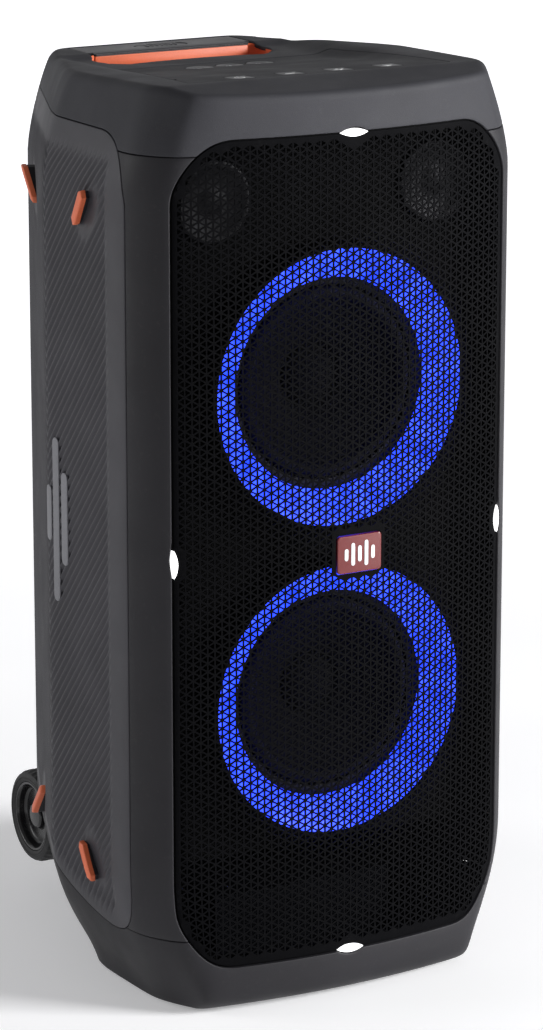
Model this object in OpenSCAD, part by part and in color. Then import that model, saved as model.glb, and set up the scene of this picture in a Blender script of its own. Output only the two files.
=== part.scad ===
// Wheeled party speaker: two woofers with light rings behind one grille, a pull-up
// handle in the top rear edge and two wheels at the lower rear corners.
// Front is -Y, up is +Z, the origin is the middle of the footprint on the floor.
// Most modules measure y as depth from the front face and are moved back by place().

/* [Cabinet] */
// Overall height from floor to the highest point of the hood
body_h = 687; // [680:1:694]
// Half of the cabinet's greatest width, at the ridge in the middle of the side
half_w = 163; // [161:0.5:165]
// Depth of the cabinet without the wheels
body_d = 322; // [320:1:323]
// Overall depth with the wheels
overall_d = 367; // [365:1:372]
// Radius of the forward crown of the front face, seen from above
crown_r = 503; // [480:1:540]
// Height of the joint between the hood and the posts beside the grille
hood_z = 640; // [636:1:644]
// Height of the joint between the base and the posts beside the grille
base_z = 61; // [59:1:64]
// Wall thickness of the outer skins
skin_t = 3; // [2.6:0.1:3]

/* [Front] */
// Half of the grille opening's width
grille_half_w = 138; // [136:0.5:141]
// Height of the bottom edge of the grille opening
grille_z0 = 38; // [37:0.5:40]
// Height of the top edge of the grille opening
grille_z1 = 651; // [649:0.5:652]
// Corner radius of the grille opening
grille_r = 46; // [42:1:50]
// Height of the centre of the upper woofer
woofer_z1 = 462; // [460:0.5:464]
// Height of the centre of the lower woofer
woofer_z0 = 228; // [226:0.5:230]
// Outer radius of each light ring
ring_r = 103.5; // [102:0.5:104]
// Radius of the hole in each light ring
ring_hole_r = 78.5; // [78:0.5:79]
// Outer radius of each tweeter's faceplate
tweeter_r = 30; // [28:0.5:31]

/* [Wheels and handle] */
// Radius of the wheels over the tyre
wheel_r = 37; // [36:0.5:38]
// Width of each wheel
wheel_w = 32; // [30:0.5:33]
// Distance of each wheel's outer face from the middle plane
wheel_face_x = 103; // [102:0.5:104]
// Height of the wheels' axle above the floor
axle_z = 62; // [61:0.5:64]
// Radius of the axle
axle_r = 6; // [5:0.5:7]
// Distance of each handle tube from the middle plane
tube_x = 54; // [54:0.5:55]
// Outer radius of each moving handle tube
tube_r = 8; // [7:0.5:8.5]
// Running clearance round tubes, axle and shafts
run_gap = 0.05; // [0.02:0.01:0.08]

/* [Controls] */
// Radius of the three round dished buttons
round_button_r = 10.5; // [10:0.5:11]
// Side of the flat keys along the front edge of the control panel
key_side = 17; // [15:1:18]
// Gap all round each button
button_gap = 0.4; // [0.3:0.1:0.6]

/* [Hidden] */
$fn = 64;

floor_z = 2.5;                 // underside of the base, above the feet's soles
big = 1000;                    // larger than any part, for cutting blocks
seam = 0.5;                    // gap between neighbouring skins
fit = 0.1;                     // gap between parts that sit in each other
front_y = -overall_d / 2;      // y of the foremost point
corner_x = 137;                // where the crown of the front meets the corner
shoulder_y = 52;               // depth at which the corner meets the side
ridge_y = 169;                 // depth of the ridge in the middle of the side
taper_end_y = 303;             // depth where the tapered side meets the rear corner
rear_lean = 0.4;               // loss of half width behind the ridge, mm per mm
taper_end_x = half_w - (taper_end_y - ridge_y) * rear_lean;
rear_flat_x = 88;              // half width of the flat rear face
shoulder_x = half_w - 3.5;
top_ridge_y = 40;              // depth of the top's highest line
rear_rise_y = 274;             // depth where the top rises again to its rear rim
inner_t = 3;                   // wall of the inner cabinet
arch_r = 45;                   // radius of the wheel arch
arch_x = 66;                   // inner wall of the wheel arch
wheel_y = overall_d - wheel_r; // depth of the axle
grip_y0 = 277;                 // front of the handle grip
grip_y1 = 311;                 // rear of the handle grip
grip_z0 = 648;                 // underside of the handle grip
grip_half_x = 70;              // half width of the handle grip
lip_y0 = 273.5;                // front of the grip's lip over the well
lip_half_x = 66;
lip_z = 9;                     // height of the grip's lip below the top
well_y = 250;                  // middle of the handle well
well_r = 25;                   // radius of the ends of the well
well_x = 57;                   // centres of the ends of the well
driver_y = 44;                 // depth of the baffle's front face
baffle_t = 12;
above = 720;                   // any height clear of the cabinet's top
behind = 400;                  // any depth clear of the cabinet's rear
ahead_y = -5;                  // any depth clear of the cabinet's front
post_y1 = 76;                  // rear end of the posts, under the side panels
button_z0 = 660;               // level under the buttons, where their prisms start

// The top falls from its ridge to a shallow dip, and rises to a rim at the rear
top_line = [[top_ridge_y, body_h], [70, body_h - 1.4], [110, body_h - 5], [150, body_h - 9.4],
    [185, body_h - 12.4], [215, body_h - 13.3], [rear_rise_y - 9, body_h - 13.3],
    [rear_rise_y - 1, body_h - 10.2], [body_d, body_h - 10.7]];
function top_z(y) = lookup(y, top_line);
function mirror_x(pts) = [for (i = [len(pts) - 1 : -1 : 0]) [-pts[i][0], pts[i][1]]];
function bezier(a, b, c, n) =
    [for (i = [0 : n]) let (t = i / n)
        a * (1 - t) * (1 - t) + b * 2 * t * (1 - t) + c * t * t];
function unit(v) = v / norm(v);
function outward(a, b) = let (u = unit(b - a)) [u[1], -u[0]];
// Moves every edge of an anticlockwise polygon inwards by d
function inset(pts, d) = let (n = len(pts))
    [for (i = [0 : n - 1])
        let (p = pts[i],
             before = outward(pts[(i + n - 1) % n], p),
             after = outward(p, pts[(i + 1) % n]))
        p - d * (before + after) / (1 + before * after)];

// Half of the outline seen from above, from the front centre round to the rear
function plan_half() = concat(
    [for (i = [1 : 7]) let (x = corner_x * i / 7) [x, x * x / (2 * crown_r)]],
    bezier([corner_x + 2, 21], [151.5, 31.5], [shoulder_x, shoulder_y], 6),
    [[half_w - 0.6, 130], [half_w, ridge_y]],
    bezier([taper_end_x, taper_end_y], [taper_end_x - 8, body_d - 1],
        [rear_flat_x, body_d], 4));
plan_pts = concat([[0, 0]], plan_half(), mirror_x(plan_half()));
// Outline seen from the side, anticlockwise with depth to the right
side_pts = [[18, floor_z], [290, floor_z], [311, 12], [body_d, 40], [body_d, top_z(body_d) - 12],
    [body_d - 6, top_z(body_d - 6)],
    for (i = [len(top_line) - 2 : -1 : 0]) top_line[i], [4, body_h - 6],
    [0.5, body_h - 11], [0, 600], [0, 36], [1, 24], [4.5, 12], [11, 5]];
// Fall-away of a side at its foot and at its top, as [outwards, height]. Between the
// two the points stand outside the cabinet, and the plan outline alone shapes the side.
flank_clear = 3;               // how far outside the points between the two stand
flank_start = 0.2;             // how far outside each fall-away starts
foot_fall = 38;                // fall-away that the foot's curve heads for at the floor
foot_limit = 30;               // most that the foot falls away
foot_bend = 2.1;               // how sharply the foot's curve bends
foot_span = 112;               // height over which the foot falls away
front_fall = 23;               // fall-away at the top, ahead of the ridge
rear_fall = 20.5;              // fall-away at the top, behind the ridge
top_span = 75;                 // height over which the top falls away
flank_low = concat([for (z = [0, 9, 22, 34, 46, 58, 72, 90, foot_span])
        [flank_start - min(foot_limit, foot_fall * pow(1 - z / foot_span, foot_bend)), z]],
    [[flank_clear, foot_span + 40]]);
function flank_high(top, fall) = concat([[flank_clear, top - top_span - 57]],
    [for (h = [top_span, 56, 40, 28, 18, 9, 0, -8])
        [flank_start - fall * pow(1 - h / top_span, 1.5), top - h]]);
front_turn = -atan2(half_w - shoulder_x, ridge_y - shoulder_y);
rear_turn = atan2(half_w - taper_end_x, taper_end_y - ridge_y);

module place() { translate([0, front_y, 0]) children(); }
// Extrudes an outline of [depth, height] points across the whole width
module across(pts, x0 = -big / 2, x1 = big / 2) {
    translate([x0, 0, 0]) rotate([90, 0, 90])
        linear_extrude(x1 - x0) polygon(pts);
}
// Limits one flank, which runs through the side ridge and is turned by angle
module flank(angle, top, fall, d) {
    pts = concat([[-big, 0]], flank_low, flank_high(top, fall), [[-big, big]]);
    translate([half_w, ridge_y, 0]) rotate([90, 0, angle])
        translate([0, 0, -big]) linear_extrude(2 * big) polygon(inset(pts, d));
}
// Solid cabinet, inset by d all round
module envelope(d = 0) {
    intersection() {
        linear_extrude(big) polygon(inset(plan_pts, d));
        across(inset(side_pts, d));
        flank(front_turn, body_h, front_fall, d);
        mirror([1, 0, 0]) flank(front_turn, body_h, front_fall, d);
        flank(rear_turn, body_h - 8, rear_fall, d);
        mirror([1, 0, 0]) flank(rear_turn, body_h - 8, rear_fall, d);
    }
}
// Skin of the cabinet between the insets d0 and d1
module skin(d0, d1) {
    difference() {
        envelope(d0);
        envelope(d1);
    }
}
// Block that spans the full width between two depths and two heights
module slab(y0, y1, z0, z1) {
    translate([-big / 2, y0, z0]) cube([big, y1 - y0, z1 - z0]);
}
// Block with four round corners, seen from the front
module rounded_block(half_x, z0, z1, r, y0, y1) {
    for (x = [r - half_x, half_x - r], z = [z0 + r, z1 - r])
        translate([x, y0, z]) rotate([-90, 0, 0]) cylinder(r = r, h = y1 - y0);
    translate([-half_x, y0, z0 + r]) cube([2 * half_x, y1 - y0, z1 - z0 - 2 * r]);
    translate([r - half_x, y0, z0]) cube([2 * (half_x - r), y1 - y0, z1 - z0]);
}
// Opening of the grille, grown by d
module grille_opening(d) {
    rounded_block(grille_half_w + d, grille_z0 - d, grille_z1 + d, grille_r + d, -10, 60);
}
// Upright slot with round ends, centred on x = 0
module slot_block(half_x, y, r, z0, z1) {
    for (side = [-1, 1]) translate([side * half_x, y, z0]) cylinder(r = r, h = z1 - z0);
    translate([-half_x, y - r, z0]) cube([2 * half_x, 2 * r, z1 - z0]);
}
// Rod along the depth
module rod_y(x, z, r, y0, y1) {
    translate([x, y0, z]) rotate([-90, 0, 0]) cylinder(r = r, h = y1 - y0);
}
// Rod across the width
module rod_x(y, z, r, x0, x1) {
    translate([x0, y, z]) rotate([0, 90, 0]) cylinder(r = r, h = x1 - x0);
}
// Shape turned about an axis along the depth; points are [radius, depth]
module turned_y(x, z, pts) {
    translate([x, 0, z]) rotate([-90, 0, 0]) rotate_extrude() polygon(pts);
}

/* ---- outer skins ---- */

// Outline of a side panel as [depth, height], grown by d
function panel_outline(d) = inset(concat(
    bezier([50.2, 103], [50.2, 59], [86, 56], 6),
    bezier([92, 56], [128, 60], [172, 84], 4),
    [[240, 92], [270, 98], [300, 111], [300, 651]],
    bezier([96, 651], [58, 650], [50.2, 604], 6)), -d);
module panel_zone(d) { across(panel_outline(d)); }

// Lens-shaped prism along the depth with its long side across or upright
module strobe_prism(x, z, upright, d) {
    lens_r = 20;
    lens_offset = 16;
    translate([x, 0, z]) rotate([-90, 0, 0]) rotate([0, 0, upright ? 90 : 0])
        intersection() {
            translate([0, lens_offset, -5]) cylinder(r = lens_r + d, h = 50);
            translate([0, -lens_offset, -5]) cylinder(r = lens_r + d, h = 50);
        }
}
strobe_mid_z = 347;
module all_strobe_pockets() {
    strobe_prism(0, grille_z1 - 1, false, fit);
    strobe_prism(0, grille_z0 + 1, false, fit);
    strobe_prism(-grille_half_w + 2, strobe_mid_z, true, fit);
    strobe_prism(grille_half_w - 2, strobe_mid_z, true, fit);
}
module strobe(x, z, upright, depth) {
    color("white") place() intersection() {
        envelope(0);
        strobe_prism(x, z, upright, 0);
        slab(ahead_y, depth, 0, big);
    }
}
module strobe_top() { strobe(0, grille_z1 - 1, false, 9); }
module strobe_bottom() { strobe(0, grille_z0 + 1, false, 9); }
module strobe_left() { strobe(-grille_half_w + 2, strobe_mid_z, true, 28); }
module strobe_right() { strobe(grille_half_w - 2, strobe_mid_z, true, 28); }

module front_posts() {
    color("dimgray") place() difference() {
        union() {
            difference() {
                intersection() {
                    skin(0, skin_t);
                    slab(ahead_y, post_y1, base_z + seam / 2, hood_z - seam / 2);
                }
                panel_zone(seam);
            }
            intersection() {
                skin(skin_t, skin_t + 3);
                slab(ahead_y, 48, 20, 670);
                grille_opening(8);
            }
        }
        difference() {
            grille_opening(0);
            intersection() {
                envelope(skin_t);
                difference() {
                    grille_opening(0.01);
                    grille_opening(-8);
                }
            }
        }
        all_strobe_pockets();
    }
}

module grille() {
    color("#26262a") place() difference() {
        intersection() {
            skin(1, skin_t - 0.4);
            grille_opening(-1);
            slab(ahead_y, 40, 0, big);
        }
        all_strobe_pockets();
        badge_block(fit);
    }
}

// Rounded plate of the badge, between the two light rings
module badge_block(d) {
    intersection() {
        envelope(0);
        translate([5.7, 0, 0])
            rounded_block(18.5 + d, 328 - d, 356 + d, 2.5 + d, -10, 4.5);
    }
}
module badge() {
    color("firebrick") place() badge_block(0);
}

// Outline of the control panel from above, grown by d
function control_outline(d) =
    inset([[-108, 46], [108, 46], [98, 206], [-98, 206]], -d);
module control_zone(d) {
    translate([0, 0, hood_z]) linear_extrude(80) polygon(control_outline(d));
}
module well_opening(d) {
    slot_block(well_x, well_y, well_r + d, hood_z - 10, above);
}
module grip_slot(d) {
    translate([-grip_half_x - d, grip_y0 - d, grip_z0 - d])
        cube([2 * (grip_half_x + d), grip_y1 - grip_y0 + 2 * d, 80]);
}
// Lip of the grip that reaches over the well, grown by d
module grip_lip(d) {
    translate([-lip_half_x - d, lip_y0 - d, top_z(well_y) - lip_z - d])
        cube([2 * (lip_half_x + d), grip_y0 - lip_y0 + 1 + d, 60]);
}

module hood() {
    ledge_t = 2;
    ledge_x = 2.5;
    color("#3c3c40") place() difference() {
        union() {
            intersection() {
                skin(0, skin_t - 0.1);
                slab(ahead_y, behind, hood_z + seam / 2, above);
            }
            intersection() {
                skin(skin_t - 0.1, skin_t + ledge_t);
                slab(30, 216, body_h - 34, above);
                difference() {
                    control_zone(6);
                    control_zone(-ledge_x);
                }
            }
        }
        intersection() {
            control_zone(seam / 2);
            union() {
                skin(-5, skin_t - 0.1);
                control_zone(-ledge_x);
            }
        }
        panel_zone(seam);
        grille_opening(0);
        strobe_prism(0, grille_z1 - 1, false, fit);
        well_opening(0);
        grip_slot(seam);
        grip_lip(seam);
    }
}

module base() {
    arch_t = 3;
    housing_r = 16;
    lip_z1 = 52;
    color("#37373b") place() difference() {
        union() {
            intersection() {
                skin(0, skin_t - 0.1);
                union() {
                    slab(ahead_y, 170, 0, base_z - seam / 2);
                    across([[84, 0], [330, 0], [330, 112], [296, 112], [240, 96],
                        [172, 88], [84, base_z - seam / 2]]);
                }
            }
            intersection() {
                skin(skin_t - 0.1, skin_t + 2);
                slab(62, 330, 0, lip_z1);
            }
            intersection() {
                skin(skin_t + 0.2, skin_t + 2);
                slab(62, 330, lip_z1 - 1, 116);
            }
            intersection() {
                envelope(0.5);
                for (side = [-1, 1])
                    rod_x(wheel_y, axle_z, arch_r + arch_t,
                        side > 0 ? arch_x - arch_t : -big / 2,
                        side > 0 ? big / 2 : arch_t - arch_x);
            }
            rod_x(wheel_y, axle_z, housing_r, -arch_x, arch_x);
            translate([-arch_x, 300, axle_z - housing_r])
                cube([2 * arch_x, wheel_y - 300, 2 * housing_r]);
        }
        for (side = [-1, 1])
            rod_x(wheel_y, axle_z, arch_r, side > 0 ? arch_x : -big / 2,
                side > 0 ? big / 2 : -arch_x);
        rod_x(wheel_y, axle_z, axle_r + run_gap, -big / 2, big / 2);
        panel_zone(seam);
        grille_opening(0);
        strobe_prism(0, grille_z0 + 1, false, fit);
        for (p = foot_places) translate([p[0], p[1], -1]) cylinder(r = foot_r + fit, h = 5);
    }
}
foot_r = 13;
foot_places = [for (side = [-1, 1], p = [[90, 58], [62, 246]]) [side * p[0], p[1]]];
module feet() {
    color("#151515") place() for (p = foot_places)
        translate([p[0], p[1], 0]) cylinder(r = foot_r, h = 3.9);
}

module inner_cabinet() {
    wall_z0 = 118;
    wall_z1 = 632;
    color("#2b2b2e") place() difference() {
        intersection() {
            envelope(skin_t + 0.2);
            slab(driver_y + baffle_t + 0.2, behind, wall_z0, wall_z1);
        }
        intersection() {
            envelope(skin_t + 0.2 + inner_t);
            slab(0, behind, wall_z0 + inner_t, wall_z1 - inner_t);
        }
        for (side = [-1, 1]) translate([side * tube_x, tube_y, 600])
            cylinder(r = sleeve_r + fit, h = 60);
        io_block(0.2, 300, 330);
        rod_y(0, port_z, port_r + fit, 250, behind);
        for (p = screw_places) rod_y(p[0], p[1], 1.6, 300, behind);
        inlet_block(fit);
    }
}

module rear_cover() {
    color("#38383c") place() difference() {
        intersection() {
            skin(0, skin_t);
            slab(taper_end_y - 2.5, behind, 112.5, hood_z - seam / 2);
        }
        io_block(-2.8, 300, behind);
        rod_y(0, port_z, port_r + fit, 250, behind);
        for (p = screw_places) {
            rod_y(p[0], p[1], 1.7, 300, behind);
            rod_y(p[0], p[1], 3.5, body_d - 2, behind);
        }
        inlet_block(fit);
    }
}

// Places a child on a side, with z outwards, x along the depth and y up
module on_side(side, y, z) {
    ahead = y < ridge_y;
    turn = ahead ? front_turn : rear_turn;
    x = half_w - abs(y - ridge_y) * tan(abs(turn));
    mirror([side < 0 ? 1 : 0, 0, 0]) translate([x, y, z]) rotate([0, 0, turn])
        rotate([90, 0, 90]) children();
}
bumper_lean = 33;
bumper_sink = 2;
// Outline of a bumper: a slim hexagon with pointed ends, grown by d
function bumper_outline(d) = inset([[-0.8, -16], [3.6, -12], [3.6, 12.5], [0.8, 16],
    [-3.6, 12], [-3.6, -12.5]], -d);
// A bumper stands highest at its end away from the middle of the side
module bumper(ahead, high, d) {
    lean = (ahead == high ? 1 : -1) * bumper_lean;
    rise = (high ? 1 : -1) * (ahead ? 1.2 : 4.4);
    mid = (ahead ? 5.5 : 6.4) + d;
    rotate([0, 0, lean]) intersection() {
        translate([0, 0, -bumper_sink - d]) linear_extrude(20) polygon(bumper_outline(d));
        across([[-20, -bumper_sink - d], [20, -bumper_sink - d], [20, mid + rise],
            [-20, mid - rise]]);
    }
}
// Places of the bumpers on a side as [depth, height]
bumper_high = [[108, 594], [235, 590]];
bumper_low = [[108, 103], [235, 110]];
module bumpers(side, d) {
    for (i = [0, 1], high = [true, false]) {
        spot = high ? bumper_high[i] : bumper_low[i];
        on_side(side, spot[0], spot[1]) bumper(i == 0, high, d);
    }
}
module bumpers_left() { color("#d7703f") place() bumpers(-1, 0); }
module bumpers_right() { color("#d7703f") place() bumpers(1, 0); }
module side_panel(side) {
    color("#47474b") place() difference() {
        intersection() {
            skin(0, skin_t);
            panel_zone(0);
            translate([side > 0 ? 0 : -big, 0, 0]) cube([big, big, big]);
        }
        bumpers(side, fit);
    }
}
module side_panel_left() { side_panel(-1); }
module side_panel_right() { side_panel(1); }

/* ---- baffle and drivers ---- */

tweeter_x = 92;
tweeter_z = 602;
basket_hole_r = 74;
module baffle() {
    color("#1d1d20") place() difference() {
        rounded_block(144, 112, 636, 20, driver_y, driver_y + baffle_t);
        for (z = [woofer_z0, woofer_z1]) rod_y(0, z, basket_hole_r, 0, 100);
        for (side = [-1, 1]) rod_y(side * tweeter_x, tweeter_z, tweeter_r - 5, 0, 100);
    }
}
// Conical diffuser with a skirt that stands on the baffle
module light_ring(z) {
    wall = 1.6;
    rim_y = 17;
    throat_y = 34;
    color("#2a3fd0") place() turned_y(0, z, [
        [ring_hole_r, throat_y], [ring_r, rim_y], [ring_r + wall, rim_y],
        [ring_r + wall, driver_y - fit], [ring_r, driver_y - fit],
        [ring_r, rim_y + 3], [ring_hole_r, throat_y + 3]]);
}
module light_ring_upper() { light_ring(woofer_z1); }
module light_ring_lower() { light_ring(woofer_z0); }
module led_boards() {
    color("seagreen") place() for (z = [woofer_z0, woofer_z1]) difference() {
        rod_y(0, z, ring_r - 0.5, driver_y - 1.8, driver_y - fit);
        rod_y(0, z, 84, 0, 100);
    }
}
module woofer_basket(z) {
    color("#202024") place() turned_y(0, z, [
        [72.5, 41], [82, 41], [82, driver_y - fit], [basket_hole_r - 0.5, driver_y - fit],
        [basket_hole_r - 0.5, 50], [46, 86], [46, 92], [27, 92], [27, 88],
        [42, 88], [42, 84], [71, 50], [71, 46], [72.5, 46]]);
}
module woofer_basket_upper() { woofer_basket(woofer_z1); }
module woofer_basket_lower() { woofer_basket(woofer_z0); }
module woofer_magnet(z) {
    color("#5a5a5e") place() turned_y(0, z, [
        [0, 93], [11, 93], [11, 112], [14, 112], [14, 92.1], [46, 92.1], [46, 97],
        [50, 99], [50, 116], [45, 118], [0, 118]]);
}
module woofer_magnet_upper() { woofer_magnet(woofer_z1); }
module woofer_magnet_lower() { woofer_magnet(woofer_z0); }
// Cone with its voice coil tube, which hangs in the magnet's gap
module woofer_cone(z) {
    coil_r = 12.5;
    color("#2f2f33") place() turned_y(0, z, [
        [60, 44], [61, 43], [61.5, 44.5], [19, 70], [coil_r, 72], [coil_r, 104],
        [coil_r - 1, 104], [coil_r - 1, 70.5], [18, 68.5]]);
}
module woofer_cone_upper() { woofer_cone(woofer_z1); }
module woofer_cone_lower() { woofer_cone(woofer_z0); }
// Rubber half roll on the cone's edge
module woofer_surround(z) {
    color("#161618") place() turned_y(0, z, concat(
        [for (i = [0 : 8]) [65.5 - 5 * cos(i * 22.5), 42.8 - 5 * sin(i * 22.5)]],
        [for (i = [8 : -1 : 0]) [65.5 - 3.9 * cos(i * 22.5), 42.8 - 3.9 * sin(i * 22.5)]]));
}
module woofer_surround_upper() { woofer_surround(woofer_z1); }
module woofer_surround_lower() { woofer_surround(woofer_z0); }
module dust_cap(z) {
    cap_r = 30;
    cap_edge = 22;
    cap_y = 66;
    height = cap_r - sqrt(cap_r * cap_r - cap_edge * cap_edge);
    color("#38383c") place() intersection() {
        difference() {
            translate([0, cap_y - height + cap_r, z]) sphere(r = cap_r);
            translate([0, cap_y - height + cap_r, z]) sphere(r = cap_r - 1);
        }
        rod_y(0, z, cap_edge, 0, cap_y);
    }
}
module dust_cap_upper() { dust_cap(woofer_z1); }
module dust_cap_lower() { dust_cap(woofer_z0); }
module tweeter(x) {
    color("#1b1b1e") place() turned_y(x, tweeter_z, [
        [0, 41], [9, 42.5], [12, 44], [tweeter_r - 3, 40], [tweeter_r, 40.6],
        [tweeter_r, driver_y - fit], [tweeter_r - 6, driver_y - fit],
        [tweeter_r - 6, 60], [20, 60], [20, 78], [0, 78]]);
}
module tweeter_left() { tweeter(-tweeter_x); }
module tweeter_right() { tweeter(tweeter_x); }

/* ---- controls in the top ---- */

round_buttons_y = 183;
round_buttons_x = [-25.5, 0, 25.5];
key_y = 58;
key_x = [-61, -20, 20, 61];
button_depth = 8;
// Prism that a button fills, grown by d: round ones and square keys
module round_button_zone(i, d) {
    translate([round_buttons_x[i], round_buttons_y, button_z0])
        cylinder(r = round_button_r + d, h = 60);
}
module key_zone(i, d) {
    half = key_side / 2 + d;
    translate([key_x[i] - half, key_y - half, button_z0]) cube([2 * half, 2 * half, 60]);
}
module control_panel() {
    color("#323236") place() difference() {
        intersection() {
            skin(0.2, skin_t - 0.2);
            control_zone(0);
            slab(0, 216, button_z0, above);
        }
        for (i = [0 : 2]) round_button_zone(i, button_gap);
        for (i = [0 : 3]) key_zone(i, button_gap);
    }
}
module button_body(y) {
    intersection() {
        envelope(0);
        translate([-big / 2, 0, top_z(y) - button_depth]) cube([big, 300, 60]);
        children();
    }
}
// Round button with a dished top
module round_button(i) {
    dish_r = 60;
    dish_depth = 0.9;
    color("#2e2e32") place() difference() {
        button_body(round_buttons_y) round_button_zone(i, 0);
        translate([round_buttons_x[i], round_buttons_y,
            top_z(round_buttons_y) + dish_r - dish_depth]) sphere(r = dish_r);
    }
}
module key(i) { color("#303034") place() button_body(key_y) key_zone(i, 0); }
module light_button() { round_button(0); }
module bass_button() { round_button(1); }
module pairing_button() { round_button(2); }
module power_key() { key(0); }
module volume_down_key() { key(1); }
module volume_up_key() { key(2); }
module play_key() { key(3); }

/* ---- handle ---- */

tube_y = 292;
sleeve_r = tube_r + run_gap + 2.5;
tube_z0 = 135;
tube_top = 664;
well_floor_z = 638;
module handle_well() {
    wall = 2;
    color("#d7703f") place() difference() {
        intersection() {
            envelope(skin_t + 0.1);
            slot_block(well_x, well_y, well_r + wall - 0.2, well_floor_z - wall, above);
        }
        slot_block(well_x, well_y, well_r - 0.2, well_floor_z, above);
        grip_lip(2);
    }
}
module handle_sleeves() {
    color("#4a4a4e") place() for (side = [-1, 1])
        translate([side * tube_x, tube_y, 0]) rotate_extrude() polygon([
            [tube_r + run_gap, 121.2], [sleeve_r, 121.2], [sleeve_r, 632.2],
            [sleeve_r + 3, 632.2], [sleeve_r + 3, 635], [tube_r + run_gap, 635]]);
}
module handle_tubes() {
    wall = 1.2;
    color("#8b8c90") place() for (side = [-1, 1])
        translate([side * tube_x, tube_y, tube_z0]) difference() {
            cylinder(r = tube_r, h = tube_top - tube_z0);
            translate([0, 0, -1]) cylinder(r = tube_r - wall, h = 600);
        }
}
release_half_x = 16;
release_r = 6;
module handle_grip() {
    color("#303034") place() difference() {
        intersection() {
            envelope(0);
            union() {
                grip_slot(0);
                grip_lip(0);
            }
        }
        for (side = [-1, 1]) translate([side * tube_x, tube_y, grip_z0 - 1])
            cylinder(r = tube_r + fit / 2, h = tube_top - grip_z0 + 1.1);
        slot_block(release_half_x, tube_y, release_r + button_gap, top_z(tube_y) - 14, above);
    }
}
module handle_release() {
    color("#232326") place() intersection() {
        envelope(0);
        slot_block(release_half_x, tube_y, release_r, top_z(tube_y) - 9, above);
    }
}

/* ---- wheels ---- */

hub_r = 28;
module wheel_tyre(side) {
    round_r = 5;
    inner_x = wheel_face_x - wheel_w;
    color("#141416") place() mirror([side < 0 ? 1 : 0, 0, 0])
        translate([inner_x, wheel_y, axle_z]) rotate([0, 90, 0]) rotate_extrude() polygon(
            concat([[hub_r + fit / 2, 1], [wheel_r - round_r, 0]],
                bezier([wheel_r - round_r, 0], [wheel_r, 0], [wheel_r, round_r], 4),
                bezier([wheel_r, wheel_w - round_r], [wheel_r, wheel_w],
                    [wheel_r - round_r, wheel_w], 4),
                [[hub_r + fit / 2, wheel_w - 1]]));
}
module wheel_tyre_left() { wheel_tyre(-1); }
module wheel_tyre_right() { wheel_tyre(1); }
module wheel_hub(side) {
    rim = 3;
    recess = 9;
    web = 4;
    boss_r = 11;
    bore_r = axle_r + run_gap;
    color("#1c1c20") place() mirror([side < 0 ? 1 : 0, 0, 0])
        translate([wheel_face_x - wheel_w, wheel_y, axle_z]) rotate([0, 90, 0])
            rotate_extrude() polygon([
                [bore_r, 2], [boss_r, 2], [boss_r, wheel_w - recess - web],
                [hub_r - rim, wheel_w - recess - web], [hub_r - rim, 2], [hub_r, 2],
                [hub_r, wheel_w - 2], [hub_r - rim, wheel_w - 2],
                [hub_r - rim, wheel_w - recess], [boss_r, wheel_w - recess],
                [boss_r, wheel_w - recess + 4], [0, wheel_w - recess + 4],
                [0, wheel_w - recess], [bore_r, wheel_w - recess]]);
}
module wheel_hub_left() { wheel_hub(-1); }
module wheel_hub_right() { wheel_hub(1); }
module axle() {
    end_x = wheel_face_x - 10;
    color("silver") place() rod_x(wheel_y, axle_z, axle_r, -end_x, end_x);
}

/* ---- rear and inside ---- */

port_z = 350;
port_r = 35;
inlet_z = 176;
screw_places = [for (side = [-1, 1], z = [128, 250, 400, 500, 622]) [side * 82, z]];
module port_tube() {
    bore_r = 31;
    color("#222225") place() turned_y(0, port_z, [
        [bore_r, 180], [port_r, 180], [port_r, body_d - skin_t - 0.1],
        [port_r, body_d], [port_r - 0.5, body_d], [bore_r + 1, body_d - 5],
        [bore_r, body_d - 14]]);
}
// Recess of the connector panel, grown by d
module io_block(d, y0, y1) {
    rounded_block(55 + d, 517 - d, 608 + d, 1.5, y0, y1);
}
io_floor_y = 304;
knob_x = -32;
knob_z = [586, 541];
jack_x = -2;
usb_x = 32;
shaft_r = 3;
module io_panel() {
    floor_t = 3;
    wall = 3;
    color("#2a2a2d") place() difference() {
        io_block(0, io_floor_y, body_d - skin_t - 0.1);
        io_block(-wall, io_floor_y + floor_t, behind);
        for (z = knob_z) rod_y(knob_x, z, shaft_r + run_gap, 0, behind);
        for (z = knob_z) rod_y(jack_x, z, 7 + fit, 0, behind);
        translate([usb_x - 7.6, 0, 574]) cube([15.2, behind, 8.2]);
        rod_y(usb_x, 541, 4 + fit, 0, behind);
    }
}
module knob(z) {
    color("#3f3f44") place() union() {
        rod_y(knob_x, z, shaft_r, io_floor_y - 5, io_floor_y + 4);
        difference() {
            rod_y(knob_x, z, 8.5, io_floor_y + 3.5, body_d - 5);
            translate([knob_x - 0.6, 0, z + 3]) cube([1.2, behind, 10]);
        }
    }
}
module mic_knob() { knob(knob_z[0]); }
module guitar_knob() { knob(knob_z[1]); }
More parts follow.
